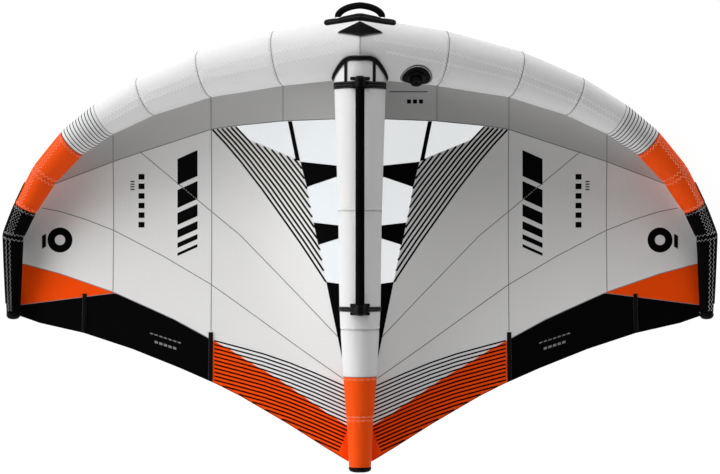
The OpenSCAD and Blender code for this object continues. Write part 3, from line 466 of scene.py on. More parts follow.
def panel(name, side, x0, x1, fore, aft, rows, mat, slot, replaces=(), top=0.0, thick=1.2, both=False, bow=0.0):
    s = -1 if side == "left" else 1
    X = grid_x(x0, x1, MARKS) if not both else np.r_[-grid_x(0, x1, MARKS)[::-1], grid_x(0, x1, MARKS)[1:]]
    F, A = fore(np.abs(X)), aft(np.abs(X)); A = np.minimum(A, F - 0.25)
    k = np.linspace(0, 1, rows + 1)
    Y = F[:, None] + (A - F)[:, None] * k[None]
    XX = np.repeat(X[:, None], rows + 1, 1)
    Z = cloth_z(XX, Y)
    P = np.stack([s * XX, Y, Z + top], -1); Q = np.stack([s * XX, Y, Z + top - thick], -1)
    v, f = skin(P, Q)
    o = make(name, v, f, mat, slot=slot, replaces=replaces, angle=35)
    tri = np.linalg.norm(np.cross(P[1:, :-1] - P[:-1, :-1], P[:-1, 1:] - P[:-1, :-1]), axis=-1).sum() / 2 + \
          np.linalg.norm(np.cross(P[1:, :-1] - P[1:, 1:], P[:-1, 1:] - P[1:, 1:]), axis=-1).sum() / 2
    area = tri / 1e6
    # the flat cut: its own length and width along the cloth
    len_u = np.linalg.norm(np.diff(P[:, rows // 2], axis=0), axis=1).sum() / 1000
    wid = max(np.linalg.norm(np.diff(P[i], axis=0), axis=1).sum() for i in range(len(X))) / 1000
    len_u = max(len_u, area / wid * 1.002)
    if 0.3 * len_u * wid > area: wid = area / len_u / 0.32
    FLAT.append((name, round(wid, 3), round(len_u, 3), round(area, 4)))
    return o
FLAT = []
yo = lambda x: np.interp(x, ORANGE_LINE[:, 0], ORANGE_LINE[:, 1])
panel("canopy_center_cloth", "right", 0, 60, y_fs, yo, 90, "canopy", "canopy_white", ["canopy_center"], both=True)
panel("canopy_center_tail_cloth", "right", 0, 60, lambda x: yo(x) - 0.1, y_te, 12, "canopy_red", "canopy_orange", both=True)
for side in ("left", "right"):
    panel(f"canopy_front_{side}_cloth", side, 0, 1140, y_at, y_fs, 20, "canopy_front", "canopy_white", [f"canopy_front_{side}"])
    panel(f"window_{side}_film", side, 60, 447, y_fs, y_we, 40, "film", "window_film", [f"window_{side}"], top=-0.2, thick=0.8)
    fore = lambda x: np.where(x <= 447, y_we(x), np.where(x <= 1140, y_fs(x), y_at(x)))
    panel(f"canopy_main_{side}_cloth", side, 60, 1255, fore, y_lower, 60, "canopy", "canopy_white", [f"canopy_main_{side}"])
    panel(f"te_orange_tip_{side}_cloth", side, 902, 1255, y_lower, lambda x: tab(TIP_PANEL, x), 10, "canopy_orange", "canopy_orange", [f"te_orange_tip_{side}"])
    panel(f"te_black_{side}_cloth", side, 532, 1255, lambda x: np.where(x < 902, y_lower(x), tab(TIP_PANEL, x)), y_te, 20, "canopy_black", "canopy_black", [f"te_black_{side}"])
    yo = lambda x: np.interp(x, ORANGE_LINE[:, 0], ORANGE_LINE[:, 1])
    panel(f"te_striped_white_{side}_cloth", side, 60, 532, y_lower, lambda x: np.maximum(yo(x), y_te(x) + 1), 16, "canopy_hatch", "canopy_white")
    panel(f"te_orange_inner_{side}_cloth", side, 60, 532, lambda x: np.maximum(yo(x), y_te(x) + 0.9), y_te, 22, "canopy_orange", "canopy_orange", [f"te_orange_inner_{side}"])

# seams, prints and ties on the cloth
for s, side in ((-1, "left"), (1, "right")):
    def surf(x, y, d, s=s): return np.stack([s * x, y, cloth_z(x, y) + d], -1)
    sm, pr, tie, ths = Bag(), Bag(), Bag(), Bag()
    def line(bag, pts, w, top=0.3, bottom=-1.5, **kw): bag.add(*ribbon_on(pts, surf, w, top, bottom, **kw))
    xs = np.linspace(0, 1140, 90); line(sm, np.stack([xs, y_fs(xs) + 1], 1), 3.4)
    for u, v0, v1 in ((113, 135, 161), (211, 97, 129), (283, 86, 121)):
        a, b_ = px((u, v1)), px((u, v0)); b_ = [b_[0], min(b_[1], float(y_at(b_[0])) - 6)]; line(sm, [a, b_], 3.2)
    line(sm, [px((113, 161)), px((113, 291))], 3.2); line(sm, [px((211.3, 129)), px((211, 331))], 3.2)
    line(sm, [px(p) for p in ((140, 152), (212, 212), (240, 235), (303, 300), (341, 340))], 3.2)
    line(sm, [px(p) for p in ((42, 208), (60, 211.5), (86, 219.5), (114, 230.5), (163, 256), (212, 285), (240, 305), (300, 348.5), (345, 380))], 3.2)
    q = STRIPE_TOP.copy(); lowr = TEP[(TEP[:, 0] > 520) & (TEP[:, 0] < 1250)]; line(sm, lowr, 2.6)
    xs = np.linspace(904, 1254, 30); line(sm, np.stack([xs, tab(TIP_PANEL, xs)], 1), 2.0)
    # folded trailing edge hem
    xs = np.linspace(62, 530, 60); line(pr, np.stack([xs, y_te(xs) + 2.2], 1), 1.6, 0.4, -1.6)
    sm.make(f"canopy_seams_{side}", ["seam"], slot="canopy_white")
    # diagonal hatch beside the window
    base = np.array([(211.6, 128.6), (226, 144), (240, 160.5), (262, 189), (282, 217), (300, 242.5), (313, 262), (326, 282)], float)
    for q in range(17):
        c = resample(base + [4.62 * q, -0.55 * q], 0.7); keep = []
        for p in c:
            x, y = px(p)
            if y < y_fs(x) - 1 and (x > 447 or y < y_we(x) - 1.5) and x > 84: keep.append((x, y))
        if len(keep) > 6: line(pr, keep, 6.9)
    # stripes along the trailing edge, parallel to the first
    tops = np.array([(212, 340.0), (238.3, 347), (263.8, 354), (289.3, 362.7), (314.8, 373), (348, 387.6)], float)
    for q in range(20):
        c = resample(tops + [0, 3.93 * q], 0.8); keep = []
        for p in c:
            x, y = px(p); lim = 346.7 - (p[1] - 433) * 0.38 if p[1] > 433 else 352
            if y > y_te(x) + 4 and x < 528 and p[0] < lim: keep.append((x, y))
        if len(keep) > 4: line(pr, keep, 5.3)
    # generic graphics: slanted bars, dots and dashes
    def quadpr(pts4, n=8):
        a, b_, c, d = [np.array(p, float) for p in pts4]; u = np.linspace(0, 1, n + 1)
        g = np.array([[(a * (1 - i) + b_ * i) * (1 - j) + (d * (1 - i) + c * i) * j for j in u] for i in u])
        w = np.array([[px(p) for p in r] for r in g])
        P = surf(w[..., 0], w[..., 1], 0.3); Q = surf(w[..., 0], w[..., 1], -1.5); v, f = skin(P, Q)
        pr.add(v, f, np.vstack([w.reshape(-1, 2)] * 2) / 1000)
    for q, (h, w_) in enumerate(((26, 20), (18, 20), (12, 20), (8, 20), (5, 20), (3, 20))):
        y0 = 150 + [0, 31, 54, 71, 84, 94][q]; quadpr([(177.5, y0 + 9), (197.5, y0), (197.5, y0 + h), (177.5, y0 + h + 9)])
    for q in range(6): quadpr([(138.5, 174 + q * 9.6), (144.5, 174 + q * 9.6), (144.5, 179.5 + q * 9.6), (138.5, 179.5 + q * 9.6)], 3)
    for cx, cy, r0, r1 in ((60, 240, 5.2, 12.5),):
        th = np.linspace(0, 2 * math.pi, 49); w = np.array([[px((cx + r * math.cos(t), cy + r * math.sin(t))) for r in (r0, (r0 + r1) / 2, r1)] for t in th])
        P = surf(w[..., 0], w[..., 1], 0.3)[:-1]; Q = surf(w[..., 0], w[..., 1], -1.5)[:-1]
        R = np.concatenate([P, Q[:, ::-1]], 1); v, f = loft(R, closed=True); pr.add(v, f)
    quadpr([(42, 236), (46, 233.5), (46, 246.5), (42, 249)], 3)
    for q in range(4): quadpr([(130.5, 181 + q * 2.6), (134.5, 181 + q * 2.6), (134.5, 182.2 + q * 2.6), (130.5, 182.2 + q * 2.6)], 2)
    if s > 0:
        for y0, u0, u1 in ((91.3, 292.5, 331), (99.5, 297, 301), (99.5, 303, 307), (99.5, 309, 313)): quadpr([(u0, y0), (u1, y0), (u1, y0 + (0.9 if u1 - u0 > 10 else 4)), (u0, y0 + (0.9 if u1 - u0 > 10 else 4))], 4)
    pale = Bag()
    for q in range(7):
        u0 = 150 + q * 4.6; v0 = 332.5 + q * 1.5
        for dv, hh in ((0, 1.2), (6.5, 2.4)):
            if dv and q in (0, 6): continue
            g = np.array([[px((u0 + i * 3.2, v0 + dv + i * 1.0 + k * hh)) for k in (0, 0.5, 1)] for i in (0, 0.5, 1)])
            pale.add(*skin(surf(g[..., 0], g[..., 1], 0.3), surf(g[..., 0], g[..., 1], -1.5)))
    pale.make(f"canopy_marks_{side}", ["thread_grey"], slot="canopy_white")
    pr.make(f"canopy_print_{side}", ["ink"], slot="canopy_black")
    # ties over the window, straight-edged pieces of black cloth
    def quadtie(pts4, n=12):
        a, b_, c, d = [np.array(px(p), float) for p in pts4]; u = np.linspace(0, 1, n + 1)
        g = np.array([[(a * (1 - i) + b_ * i) * (1 - j) + (d * (1 - i) + c * i) * j for j in u] for i in u])
        tie.add(*skin(surf(g[..., 0], g[..., 1], 1.3), surf(g[..., 0], g[..., 1], -1.7)))
    quadtie([(300.4, 161.7), (340.5, 166), (341.5, 175.2), (306.8, 187)]); quadtie([(313.6, 222.5), (341, 225.7), (341.5, 237.6), (318.2, 244.9)])
    quadtie([(326.3, 281.9), (342, 284.2), (343.8, 361), (342.3, 359)]); quadtie([(287.9, 121.4), (292, 121.3), (300, 160.8), (295.8, 160.2)])
    tie.make(f"window_ties_{side}", ["canopy_black"], slot="canopy_black", replaces=[f"window_braces_{side}"])
    # batten pockets: a padded sleeve with its stitch lines
    for nm, x, y0, y1 in (("outer", px((84.8, 296))[0], -208, -350), ("inner", 540, -345, -518)):
        bp, st = Bag(), Bag(); ys = np.linspace(y0, y1, 40); rows = []
        for y in ys:
            e = min(1, (y0 - y) / 6 + 0.35, (y - y1) / 6 + 0.35); z = float(cloth_z(x, y))
            prof = [(-9, 0.2), (-8.6, 1.2), (-6, 1.6), (-4.5, 5.0 * e + 1), (0, 6.2 * e + 1), (4.5, 5.0 * e + 1), (6, 1.6), (8.6, 1.2), (9, 0.2)]
            rows.append([(s * (x + dx), y, z + dz) for dx, dz in prof])
        v, f = loft(rows); bp.add(v, f, v[:, :2] / 1000)
        for dx in (-7.4, 7.4):
            n = 44; yy = np.linspace(y0 - 2, y1 + 2, n)
            for q in range(0, n - 1, 2):
                pts = [(s * (x + dx), yy[q], float(cloth_z(x, yy[q])) + 1.5), (s * (x + dx), yy[q + 1], float(cloth_z(x, yy[q + 1])) + 1.5)]
                thread(bp, pts, [(0, 0, 1)] * 2, 0.45, 0.4, mat=1)
        bp.make(f"batten_sleeve_{nm}_{side}", ["webbing", "thread_grey"], slot="webbing_black", replaces=[f"batten_pocket_{nm}_{side}", f"batten_{nm}_{side}"])

# ------------------------------------------------------------------ strut
STRUT = np.array([[-832, 30], [-816, 38.7], [-650, 47], [-497, 59.1], [-252, 72.8], [60, 76.7], [529, 91], [700, 92]], float)
SLOPE = math.tan(math.radians(1.3))
def s_r(y): return np.interp(y, STRUT[:, 0], STRUT[:, 1])
def s_z(y): return 12 + (529 - y) * SLOPE
def nose_c(x): return np.array([x, 673 - 0.1172 * abs(x), dih(x)])
def nose_r(x): return 107 - 0.0276 * abs(x)
def s_pt(phi, y, d=0.0):
    """Point on the strut: phi in degrees from the rider's side, positive to +X."""
    r = s_r(y) + d; return np.array([r * math.sin(math.radians(phi)), y, s_z(y) + r * math.cos(math.radians(phi))])
def s_front(phi):
    """Where the strut's skin meets the leading edge tube."""
    y = 600.0
    for _ in range(12):
        p = s_pt(phi, y); c, r = nose_c(p[0]), nose_r(p[0])
        y = c[1] - math.sqrt(max(30, (r - 1.0) ** 2 - (p[2] - c[2]) ** 2))
    return min(y, 655)
def strut_tube(name, y0, y1, mat, slot, replaces, seams, sides=88):
    R, U = [], []
    ys = None
    th = np.linspace(0, 360, sides, endpoint=False)
    fr = np.array([s_front(((a + 180) % 360) - 180) if y1 is None else y1 for a in th])
    n = 90 if y1 is None else 40
    k = np.linspace(0, 1, n + 1)
    for u in k:
        ring, uvr = [], []
        for a, top in zip(th, fr):
            y = y0 + (top - y0) * u
            d = 0.0
            for ysm in seams:
                d += -1.1 * math.exp(-((y - ysm) / 5) ** 2) + 0.5 * math.exp(-((abs(y - ysm) - 14) / 14) ** 2) * math.sin(math.radians(a) * 15 + ysm)
            ring.append(s_pt(a, y, d)); uvr.append((y / 1000, math.radians(a) * s_r(y) / 1000))
        R.append(ring); U.append(uvr)
    R = np.array(R); C = np.stack([np.zeros(R.shape[:2]), R[..., 1], s_z(R[..., 1])], -1)
    I = C + (R - C) * (1 - 1.2 / np.linalg.norm(R - C, axis=-1, keepdims=True))
    m, n2 = R.shape[:2]; o = m * n2; f = []
    for q in range(m - 1):
        for i in range(n2):
            j = (i + 1) % n2
            f.append([q * n2 + i, (q + 1) * n2 + i, (q + 1) * n2 + j, q * n2 + j]); f.append([o + q * n2 + j, o + (q + 1) * n2 + j, o + (q + 1) * n2 + i, o + q * n2 + i])
    for i in range(n2):
        j = (i + 1) % n2; e = (m - 1) * n2
        f.append([j, o + j, o + i, i]); f.append([e + i, o + e + i, o + e + j, e + j])
    return make(name, np.vstack([R.reshape(-1, 3), I.reshape(-1, 3)]), f, mat, uv=np.vstack([np.array(U).reshape(-1, 2)] * 2), slot=slot, replaces=replaces)
S_SEAM1, S_SEAM2, S_ORANGE = 92.0, -327.0, -493.0
strut_tube("strut_casing_cloth", S_ORANGE, None, "dacron_strut", "dacron_white", ["strut_casing"], [S_SEAM1, S_SEAM2, S_ORANGE])
strut_tube("strut_tail_cloth", -817, S_ORANGE - 0.05, "dacron_orange", "dacron_orange", ["strut_tail_casing"], [S_ORANGE, -640])
bg, tw, to = Bag(), Bag(), Bag()
def s_ring(bag, y, w, a0, a1, d=0.35, mat=0):
    A = np.linspace(a0, a1, int((a1 - a0) / 4) + 1)
    R = [[s_pt(a, y - w / 2, -1.5), s_pt(a, y - w / 2, d), s_pt(a, y + w / 2, d), s_pt(a, y + w / 2, -1.5)] for a in A]
    v, f = loft(R); bag.add(v, f, None, mat)
def s_zig(bag, y, a0, a1, amp=4.0, pitch=9.0):
    n = int(math.radians(a1 - a0) * s_r(y) / (pitch / 2)); pts, nr = [], []
    for q in range(n + 1):
        a = a0 + (a1 - a0) * q / n; yy = y + amp / 2 * (1 if q % 2 else -1)
        pts.append(s_pt(a, yy, -0.2)); nr.append((math.sin(math.radians(a)), 0, math.cos(math.radians(a))))
    thread(bag, pts, nr)
s_ring(bg, S_SEAM1, 1.8, -110, 110); s_ring(bg, S_SEAM2, 1.8, -110, 110); s_ring(bg, S_ORANGE, 1.2, -110, 110)
for y in (S_SEAM1 + 8, S_SEAM2 + 8): s_zig(tw, y, -105, 105)
for y in (-502, -634, -647): s_zig(to, y, -108, 108, amp=6, pitch=12)
bg.make("strut_seam_lines", ["seam"], slot="dacron_white"); tw.make("strut_stitches_white", ["thread_pale"], slot="dacron_white")
to.make("strut_stitches_on_orange", ["thread_orange"], slot="dacron_orange")
# rear end cap
R = []
for y, r in ((-812, 39.4), (-816, 40.0), (-820, 39.8), (-824.5, 37.5), (-828, 32.5), (-830.5, 24), (-831.6, 12), (-831.8, 3)):
    R.append([(r * math.sin(t), y, s_z(y) + r * math.cos(t)) for t in np.linspace(0, 2 * math.pi, 64, endpoint=False)])
v, f = loft(R); make("strut_end_cap_moulding", v, f, "rubber", uv=v[:, [0, 2]] / 1000, slot="rubber_black", replaces=["strut_end_cap"])

# webbing bands, each with rows of stitching
def band(name, y0, y1, spread, rows, replaces):
    bag = Bag(); A = np.linspace(-spread, spread, 81)
    R = []
    for a in A:
        e = min(1.0, (spread - abs(a)) / 4 + 0.4)
        prof = [(y0, 0.5), (y0 + 0.2, 1.9 * e), (y0 + 1.6, 2.5 * e), (y1 - 1.6, 2.5 * e), (y1 - 0.2, 1.9 * e), (y1, 0.5)]
        R.append([s_pt(a, y, d) for y, d in prof])
    v, f = loft(R)
    uv = np.array([(math.radians(a) * 0.09, y / 1000) for a in A for y in (y0, y0, y0 + 1.6, y1 - 1.6, y1, y1)])
    bag.add(v, f, uv)
    for y in rows:
        n = int(math.radians(2 * spread) * s_r(y) / 3.2)
        for q in range(0, n, 2):
            a0, a1 = -spread + 2 * spread * q / n, -spread + 2 * spread * (q + 1.1) / n
            thread(bag, [s_pt(a0, y, 2.55), s_pt(a1, y, 2.55)], [(math.sin(math.radians(a0)), 0, math.cos(math.radians(a0)))] * 2, 0.7, 0.4, mat=1)
    return bag.make(name, ["webbing", "thread_grey"], slot="webbing_black", replaces=replaces)
band("band_front", 522, 547, 116, (525.5, 534.5, 543.5), ["strut_band_front"])
band("band_rear", -263, -246, 116, (-260, -254.5, -249), ["strut_band_rear"])

# arched seam tape where strut and tube meet, and the two straps
def yk(a):
    ra = math.radians(a); y = s_front(a); y = -8 * math.log(math.exp(-y / 8) + math.exp(-630 / 8)); p = s_pt(a, y, 0.4); c = nose_c(p[0])
    n1 = np.array([math.sin(ra), 0, math.cos(ra)]); n2 = unit([0, p[1] - c[1], p[2] - c[2]])
    w = 9.5 - 5.5 * (abs(a) / 95) ** 1.5; d = float(n1 @ n2)
    return p + unit(n1 + n2) * (1.4 + (w + 1) * math.sqrt((1 - d) / (1 + d))), unit(n1 + n2), w
A = np.linspace(-95, 95, 121); Y = [yk(a) for a in A]; pts = np.array([p for p, _, _ in Y])
ker = np.exp(-np.linspace(-1.6, 1.6, 9) ** 2); ker /= ker.sum()
pad = np.vstack([np.repeat(pts[:1], 4, 0), pts, np.repeat(pts[-1:], 4, 0)])
sm_ = np.stack([np.convolve(pad[:, k], ker, "valid") for k in range(3)], 1); sm_[0], sm_[-1] = pts[0], pts[-1]; pts = sm_
T = np.gradient(pts, axis=0); R, UVs = [], []
for i, (p, t) in enumerate(zip(pts, T)):
    t = unit(t); n0 = Y[i][1]; wv = unit(np.cross(t, n0)); n = np.cross(wv, t); h = Y[i][2]
    R.append([p + wv * h, p + wv * h * 0.97 + n * 1.5, p + wv * h * 0.6 + n * 2.5, p + n * 2.7, p - wv * h * 0.6 + n * 2.5, p - wv * h * 0.97 + n * 1.5, p - wv * h, p - n * 0.4])
v, f = loft(R); bag = Bag(); bag.add(v, f, np.array([(i * 0.004, k * 0.002) for i in range(len(R)) for k in range(8)]))
for off in (-0.55, 0.55):
    for i in range(6, len(pts) - 7, 2):
        q = []
        for k in (i, i + 1):
            t = unit(T[k]); n0 = Y[k][1]; wv = unit(np.cross(t, n0)); n = np.cross(wv, t); q.append(pts[k] + wv * Y[k][2] * off + n * 2.5)
        thread(bag, q, [Y[i][1]] * 2, 0.45, 0.35, mat=1)
bag.make("strut_seam_tape", ["webbing", "thread_grey"], slot="webbing_black", replaces=["strut_yoke"])
bag = Bag()
for s in (-1, 1):
    R = []
    for y in np.linspace(544, 622, 34):
        R.append([s_pt(s * 33 + a, y, d) for a, d in ((-4, 0.5), (-3.9, 1.9), (-3, 2.4), (3, 2.4), (3.9, 1.9), (4, 0.5))])
    v, f = loft(R); bag.add(v, f)
    for a in (-2.6, 2.6):
        for q in range(0, 18, 2):
            y = 550 + q * 3.6; thread(bag, [s_pt(s * 33 + a, y, 2.4), s_pt(s * 33 + a, y + 3.8, 2.4)], [(0, 0, 1)] * 2, 0.45, 0.35, mat=1)
bag.make("strut_straps", ["webbing", "thread_grey"], slot="webbing_black", replaces=["strut_yoke_straps"])

# ------------------------------------------------------------------ boom
BZ = 160.0
def ring_y(y, r, z=BZ, n=48, sq=2.0):
    t = np.linspace(0, 2 * math.pi, n, endpoint=False)
    return np.stack([r * np.sin(t), np.full(n, y), z + r * np.cos(t)], 1)
R = [ring_y(525, 14.6), ring_y(524.6, 15.6), ring_y(523, 16)]
ys = np.linspace(522, -235, 260)
R += [ring_y(y, 16.0 - (0.5 if (i % 4 == 0 and 20 < i < 240) else 0)) for i, y in enumerate(ys)]
R += [ring_y(-236.6, 15.6), ring_y(-237.6, 14.6)]
v, f = loft(R); t = np.tile(np.linspace(0, 2 * math.pi, 48, endpoint=False), len(R))
make("boom_grip_foam", v, f, "foam", uv=np.stack([v[:, 1], t * 16], 1) / 1000, body="boom", slot="grip_foam", replaces=["boom_grip"])
R = [ring_y(561.8, 6), ring_y(561.9, 11), ring_y(560.5, 13.2), ring_y(558, 14), ring_y(530, 14), ring_y(-240, 14), ring_y(-271, 14), ring_y(-273.5, 13.2), ring_y(-274.9, 11), ring_y(-274.8, 6)]
v, f = loft(R); make("boom_tube_ends", v, f, "anodised", uv=v[:, [1, 0]] / 1000, body="boom", slot="boom_aluminium", replaces=["boom_tube", "boom_end_plugs"])
def bracket(name, y, rs, replaces):
    bag = Bag(); hw, hl = 35.5, 22.0
    # the foot: two bars across the strut and a spine that joins them
    def pad(hx, y0, y1, th):
        nx, ny = 30, 12; U, W = np.linspace(-1, 1, nx + 1), np.linspace(-1, 1, ny + 1); P, Q = [], []
        hy = (y1 - y0) / 2; ym = (y0 + y1) / 2; rc = 2.2
        for u in U:
            rowp, rowq = [], []
            for w in W:
                x = u * hx; e = max(0.0, abs(x) - (hx - rc)); yy = w * (hy - (rc - math.sqrt(max(0, rc * rc - e * e))))
                ed = min((1 - abs(w)) * hy, (1 - abs(u)) * hx); t = th - 1.3 * max(0.0, 1 - ed / 1.4) ** 2
                a = math.asin(max(-1, min(1, x / (rs + 4)))); z0 = s_z(y + ym + yy)
                rowp.append(((rs + t) * math.sin(a), y + ym + yy, z0 + (rs + t) * math.cos(a)))
                rowq.append(((rs + 0.1) * math.sin(a), y + ym + yy, z0 + (rs + 0.1) * math.cos(a)))
            P.append(rowp); Q.append(rowq)
        bag.add(*skin(P, Q))
    pad(35, 8.8, 20.5, 5.2); pad(35, -20.5, -8.8, 5.2); pad(16.5, -20, 20, 5.6)
    # neck: rounded section that flares into the collar
    top = s_z(y) + rs + 2; R = []
    for k in np.linspace(0, 1, 14):
        z = top + (BZ - 6 - top) * k; a_, b_ = 12.5 + 6 * (1 - k) ** 3, 14.5 + 4 * (1 - k) ** 3
        t = np.linspace(0, 2 * math.pi, 40, endpoint=False)
        c_, s_ = np.cos(t), np.sin(t); e = 2 / 5
        R.append(np.stack([a_ * np.sign(c_) * np.abs(c_) ** e, y + b_ * np.sign(s_) * np.abs(s_) ** e, np.full(40, z)], 1))
    bag.add(*loft(R))
    # collar round the boom with rounded rims
    R = [ring_y(y - 15.2, 14.1), ring_y(y - 15.2, 16.6), ring_y(y - 14.6, 17.5), ring_y(y - 13, 18), ring_y(y + 13, 18), ring_y(y + 14.6, 17.5), ring_y(y + 15.2, 16.6), ring_y(y + 15.2, 14.1)]
    v, f = loft(R, closed=True); bag.add(v, f)
    bag.make(name, ["plastic"], body="boom", slot="bracket_plastic", replaces=replaces, angle=32)
bracket("bracket_front", 541.5, 93.9, ["boom_bracket_front"])
bracket("bracket_rear", -254.5, 75.8, ["boom_bracket_rear"])
# screw heads, domed with a round socket
bag = Bag()
for y, rr in ((541.5, 93.9 + 4.6), (-254.5, 75.8 + 4.6)):
    for s in (-1, 1):
        for d in (-14.8, 14.8):
            a = math.radians(15.5 * s); yy = y + d; n = np.array([math.sin(a), 0, math.cos(a)])
            c = np.array([rr * math.sin(a), yy, s_z(yy) + rr * math.cos(a)]); ux = np.array([math.cos(a), 0, -math.sin(a)]); uy = np.array([0, 1.0, 0])
            R = []
            for h, r in ((-3, 4.4), (1.4, 4.4), (2.4, 4.0), (3.0, 3.0), (3.05, 2.3), (1.6, 2.2), (1.5, 0.4)):
                R.append([c + n * h + r * (math.cos(t) * ux + math.sin(t) * uy) for t in np.linspace(0, 2 * math.pi, 24, endpoint=False)])
            v, f = loft(R); bag.add(v, f)
bag.make("boom_screw_heads", ["steel"], body="boom", slot="screw_steel", replaces=["boom_screws"])

# ------------------------------------------------------------------ nose: base, handle, patch
def nose_p(x, a, d):
    ra = math.radians(a); return nose_c(x) + (nose_r(x) + d) * np.array([0, math.cos(ra), math.sin(ra)])
bag = Bag(); P, Q = [], []
X = np.linspace(-128, 128, 65)
for x in X:
    e = abs(x) / 128; q = 1.0 if e < 0.9 else 0.45 + 0.55 * math.sqrt(max(0, 1 - ((e - 0.9) / 0.1) ** 2)); rp, rq = [], []
    for j in np.linspace(0, 1, 17):
        a = 8 + q * (-24 + 48 * j); th = 2.4 + ((9.0 + 4.6 * max(0.0, 1 - abs(x) / 95)) * math.sin(math.pi * j) ** 0.6) * (q if e > 0.9 else 1) * (1 - 0.12 * math.exp(-(x / 6) ** 2)) * (1 - 0.3 * math.exp(-((abs(x) - 79) / 13) ** 2))
        rp.append(nose_p(x, a, th)); rq.append(nose_p(x, a, 0.9))
    P.append(rp); Q.append(rq)
v, f = skin(P, Q); uv = np.array([(x / 1000, j * 0.09) for x in X for j in np.linspace(0, 1, 17)] * 2); bag.add(v, f, uv)
for j, d in ((0.16, 9.6), (0.84, 9.6)):
    xs = np.arange(-114, 114, 3.4)
    for q in range(0, len(xs) - 1, 2):
        th = 2.4 + (9.0 + 4.6 * max(0.0, 1 - abs(xs[q]) / 95)) * math.sin(math.pi * j) ** 0.6 * (1 - 0.12 * math.exp(-(xs[q] / 6) ** 2)) * (1 - 0.3 * math.exp(-((abs(xs[q]) - 79) / 13) ** 2))
        thread(bag, [nose_p(xs[q], 8 - 24 + 48 * j, th), nose_p(xs[q + 1], 8 - 24 + 48 * j, th)], [(0, math.cos(math.radians(8 - 24 + 48 * j)), math.sin(math.radians(8 - 24 + 48 * j)))] * 2, 0.5, 0.4, mat=1)
bag.make("handle_base_pad", ["webbing", "thread_grey"], slot="webbing_black", replaces=["handle_base"])
def grip_c(u):
    r = math.radians(u); return np.array([79 * math.cos(r), 779 + 37 * math.sin(r) + (1 - abs(math.cos(r))) * 4, 8 + 14 * math.sin(r)])
bag = Bag(); R, st = [], [[], []]
K = np.linspace(175, 5, 99)
for i, u in enumerate(K):
    t = unit(grip_c(u - 1) - grip_c(u + 1)); e1 = unit(np.cross([0, 0, 1.0], t)); e2 = np.cross(t, e1); c = grip_c(u)
    e = min(i, len(K) - 1 - i) / 6.0; g = 1.0 if e >= 1 else 0.78 + 0.22 * math.sqrt(max(0, 1 - (1 - e) ** 2))
    ring = []
    for a in np.linspace(0, 2 * math.pi, 32, endpoint=False):
        dent = 1 - 0.07 * math.exp(-((abs(a - math.pi / 2) - 0.0) / 0.16) ** 2) - 0.07 * math.exp(-((a - 3 * math.pi / 2) / 0.16) ** 2)
        ring.append(c + g * dent * (11.8 * math.cos(a) * e1 + 9.1 * math.sin(a) * e2))
    R.append(ring); st[0].append((c + g * (0.99 * 9.1 * math.cos(1.05) * e1 + 8.5 * math.sin(1.05) * e2) * 1.03, e2)); st[1].append((c + g * (-9.1 * math.cos(1.05) * e1 + 8.5 * math.sin(1.05) * e2) * 1.03, e2))
v, f = loft(R); ss = np.repeat(np.linspace(0, 0.21, len(R)), 32); aa = np.tile(np.linspace(0, 0.06, 32), len(R))
bag.add(v, f, np.stack([ss, aa], 1))
for rowp in st:
    for q in range(4, len(rowp) - 5, 2): thread(bag, [rowp[q][0], rowp[q + 1][0]], [rowp[q][1]] * 2, 0.5, 0.4, mat=1)
grip = bag.make("front_grip_pad", ["webbing", "thread_grey"], body="front_handle", slot="grip_foam", replaces=["handle_grip"])
bag = Bag(); P, Q = [], []; X = np.linspace(-78, 78, 61)
for x in X:
    u = (abs(x) / 78) ** 0.9; lo, hi = 38 + 19.8 * u, 73 - 13.6 * u; rp, rq = [], []
    for j in np.linspace(0, 1, 13):
        e = min(j, 1 - j) * 12; rim = 1.5 if e < 1.2 and abs(x) < 74 else 0.0
        rp.append(nose_p(x, lo + (hi - lo) * j, 2.8 + rim + 1.0 * math.sin(math.pi * j))); rq.append(nose_p(x, lo + (hi - lo) * j, 0.8))
    P.append(rp); Q.append(rq)
v, f = skin(P, Q); bag.add(v, f, np.array([(x / 1000, j * 0.07) for x in X for j in np.linspace(0, 1, 13)] * 2))
for sgn in (0, 1):
    xs = np.linspace(-72, 72, 46)
    for q in range(0, 45, 2):
        w = []
        for x in (xs[q], xs[q + 1]):
            u = (abs(x) / 78) ** 0.9; lo, hi = 38 + 19.8 * u, 73 - 13.6 * u; j = 0.13 if sgn == 0 else 0.87; w.append(nose_p(x, lo + (hi - lo) * j, 3.8))
        thread(bag, w, [(0, 0.5, 0.85)] * 2, 0.5, 0.5, mat=1)
for edge in (0, 1):
    w = []
    for x in np.linspace(-76, 76, 77):
        u = (abs(x) / 78) ** 0.9; lo, hi = 38 + 19.8 * u, 73 - 13.6 * u; w.append(nose_p(x, hi if edge else lo, 3.4))
    thread(bag, w, [(0, 0.6, 0.8)] * len(w), 1.5, 1.0, mat=2)
bag.make("nose_diamond_patch", ["webbing", "thread_grey", "thread_fine"], slot="webbing_black", replaces=["nose_patch"])

# ------------------------------------------------------------------ valve
c0, c1 = le_c(0), le_c(1); vt = unit(c1 - c0); ve1, ve2 = frame_at(vt)
vn = -math.cos(math.radians(34)) * ve1 + math.sin(math.radians(34)) * ve2; vy = np.cross(vn, vt)
vf = 197 / 290; vr = 107 - 8 * vf; vc = c0 + (c1 - c0) * vf; vo = vc + vn * (vr + 3.2)
def on_tube(r, a, d):
    q = r * math.sin(a) / vr; return vc + vt * (r * math.cos(a)) + (vr + d) * (math.cos(q) * vn + math.sin(q) * vy)
def disc(bag, radii, mat=0):
    """Concentric profile (radius, height over the tube) as a closed solid on the tube."""
    n = 72; A_ = np.linspace(0, 2 * math.pi, n, endpoint=False); R = [[on_tube(r, a, d) for a in A_] for r, d in radii]
    v, f = loft(R); bag.add(v, f, None, mat)
bag = Bag()
disc(bag, [(57, 0.4), (57, 2.6), (55.5, 3.0), (30, 3.1), (5, 3.1)])
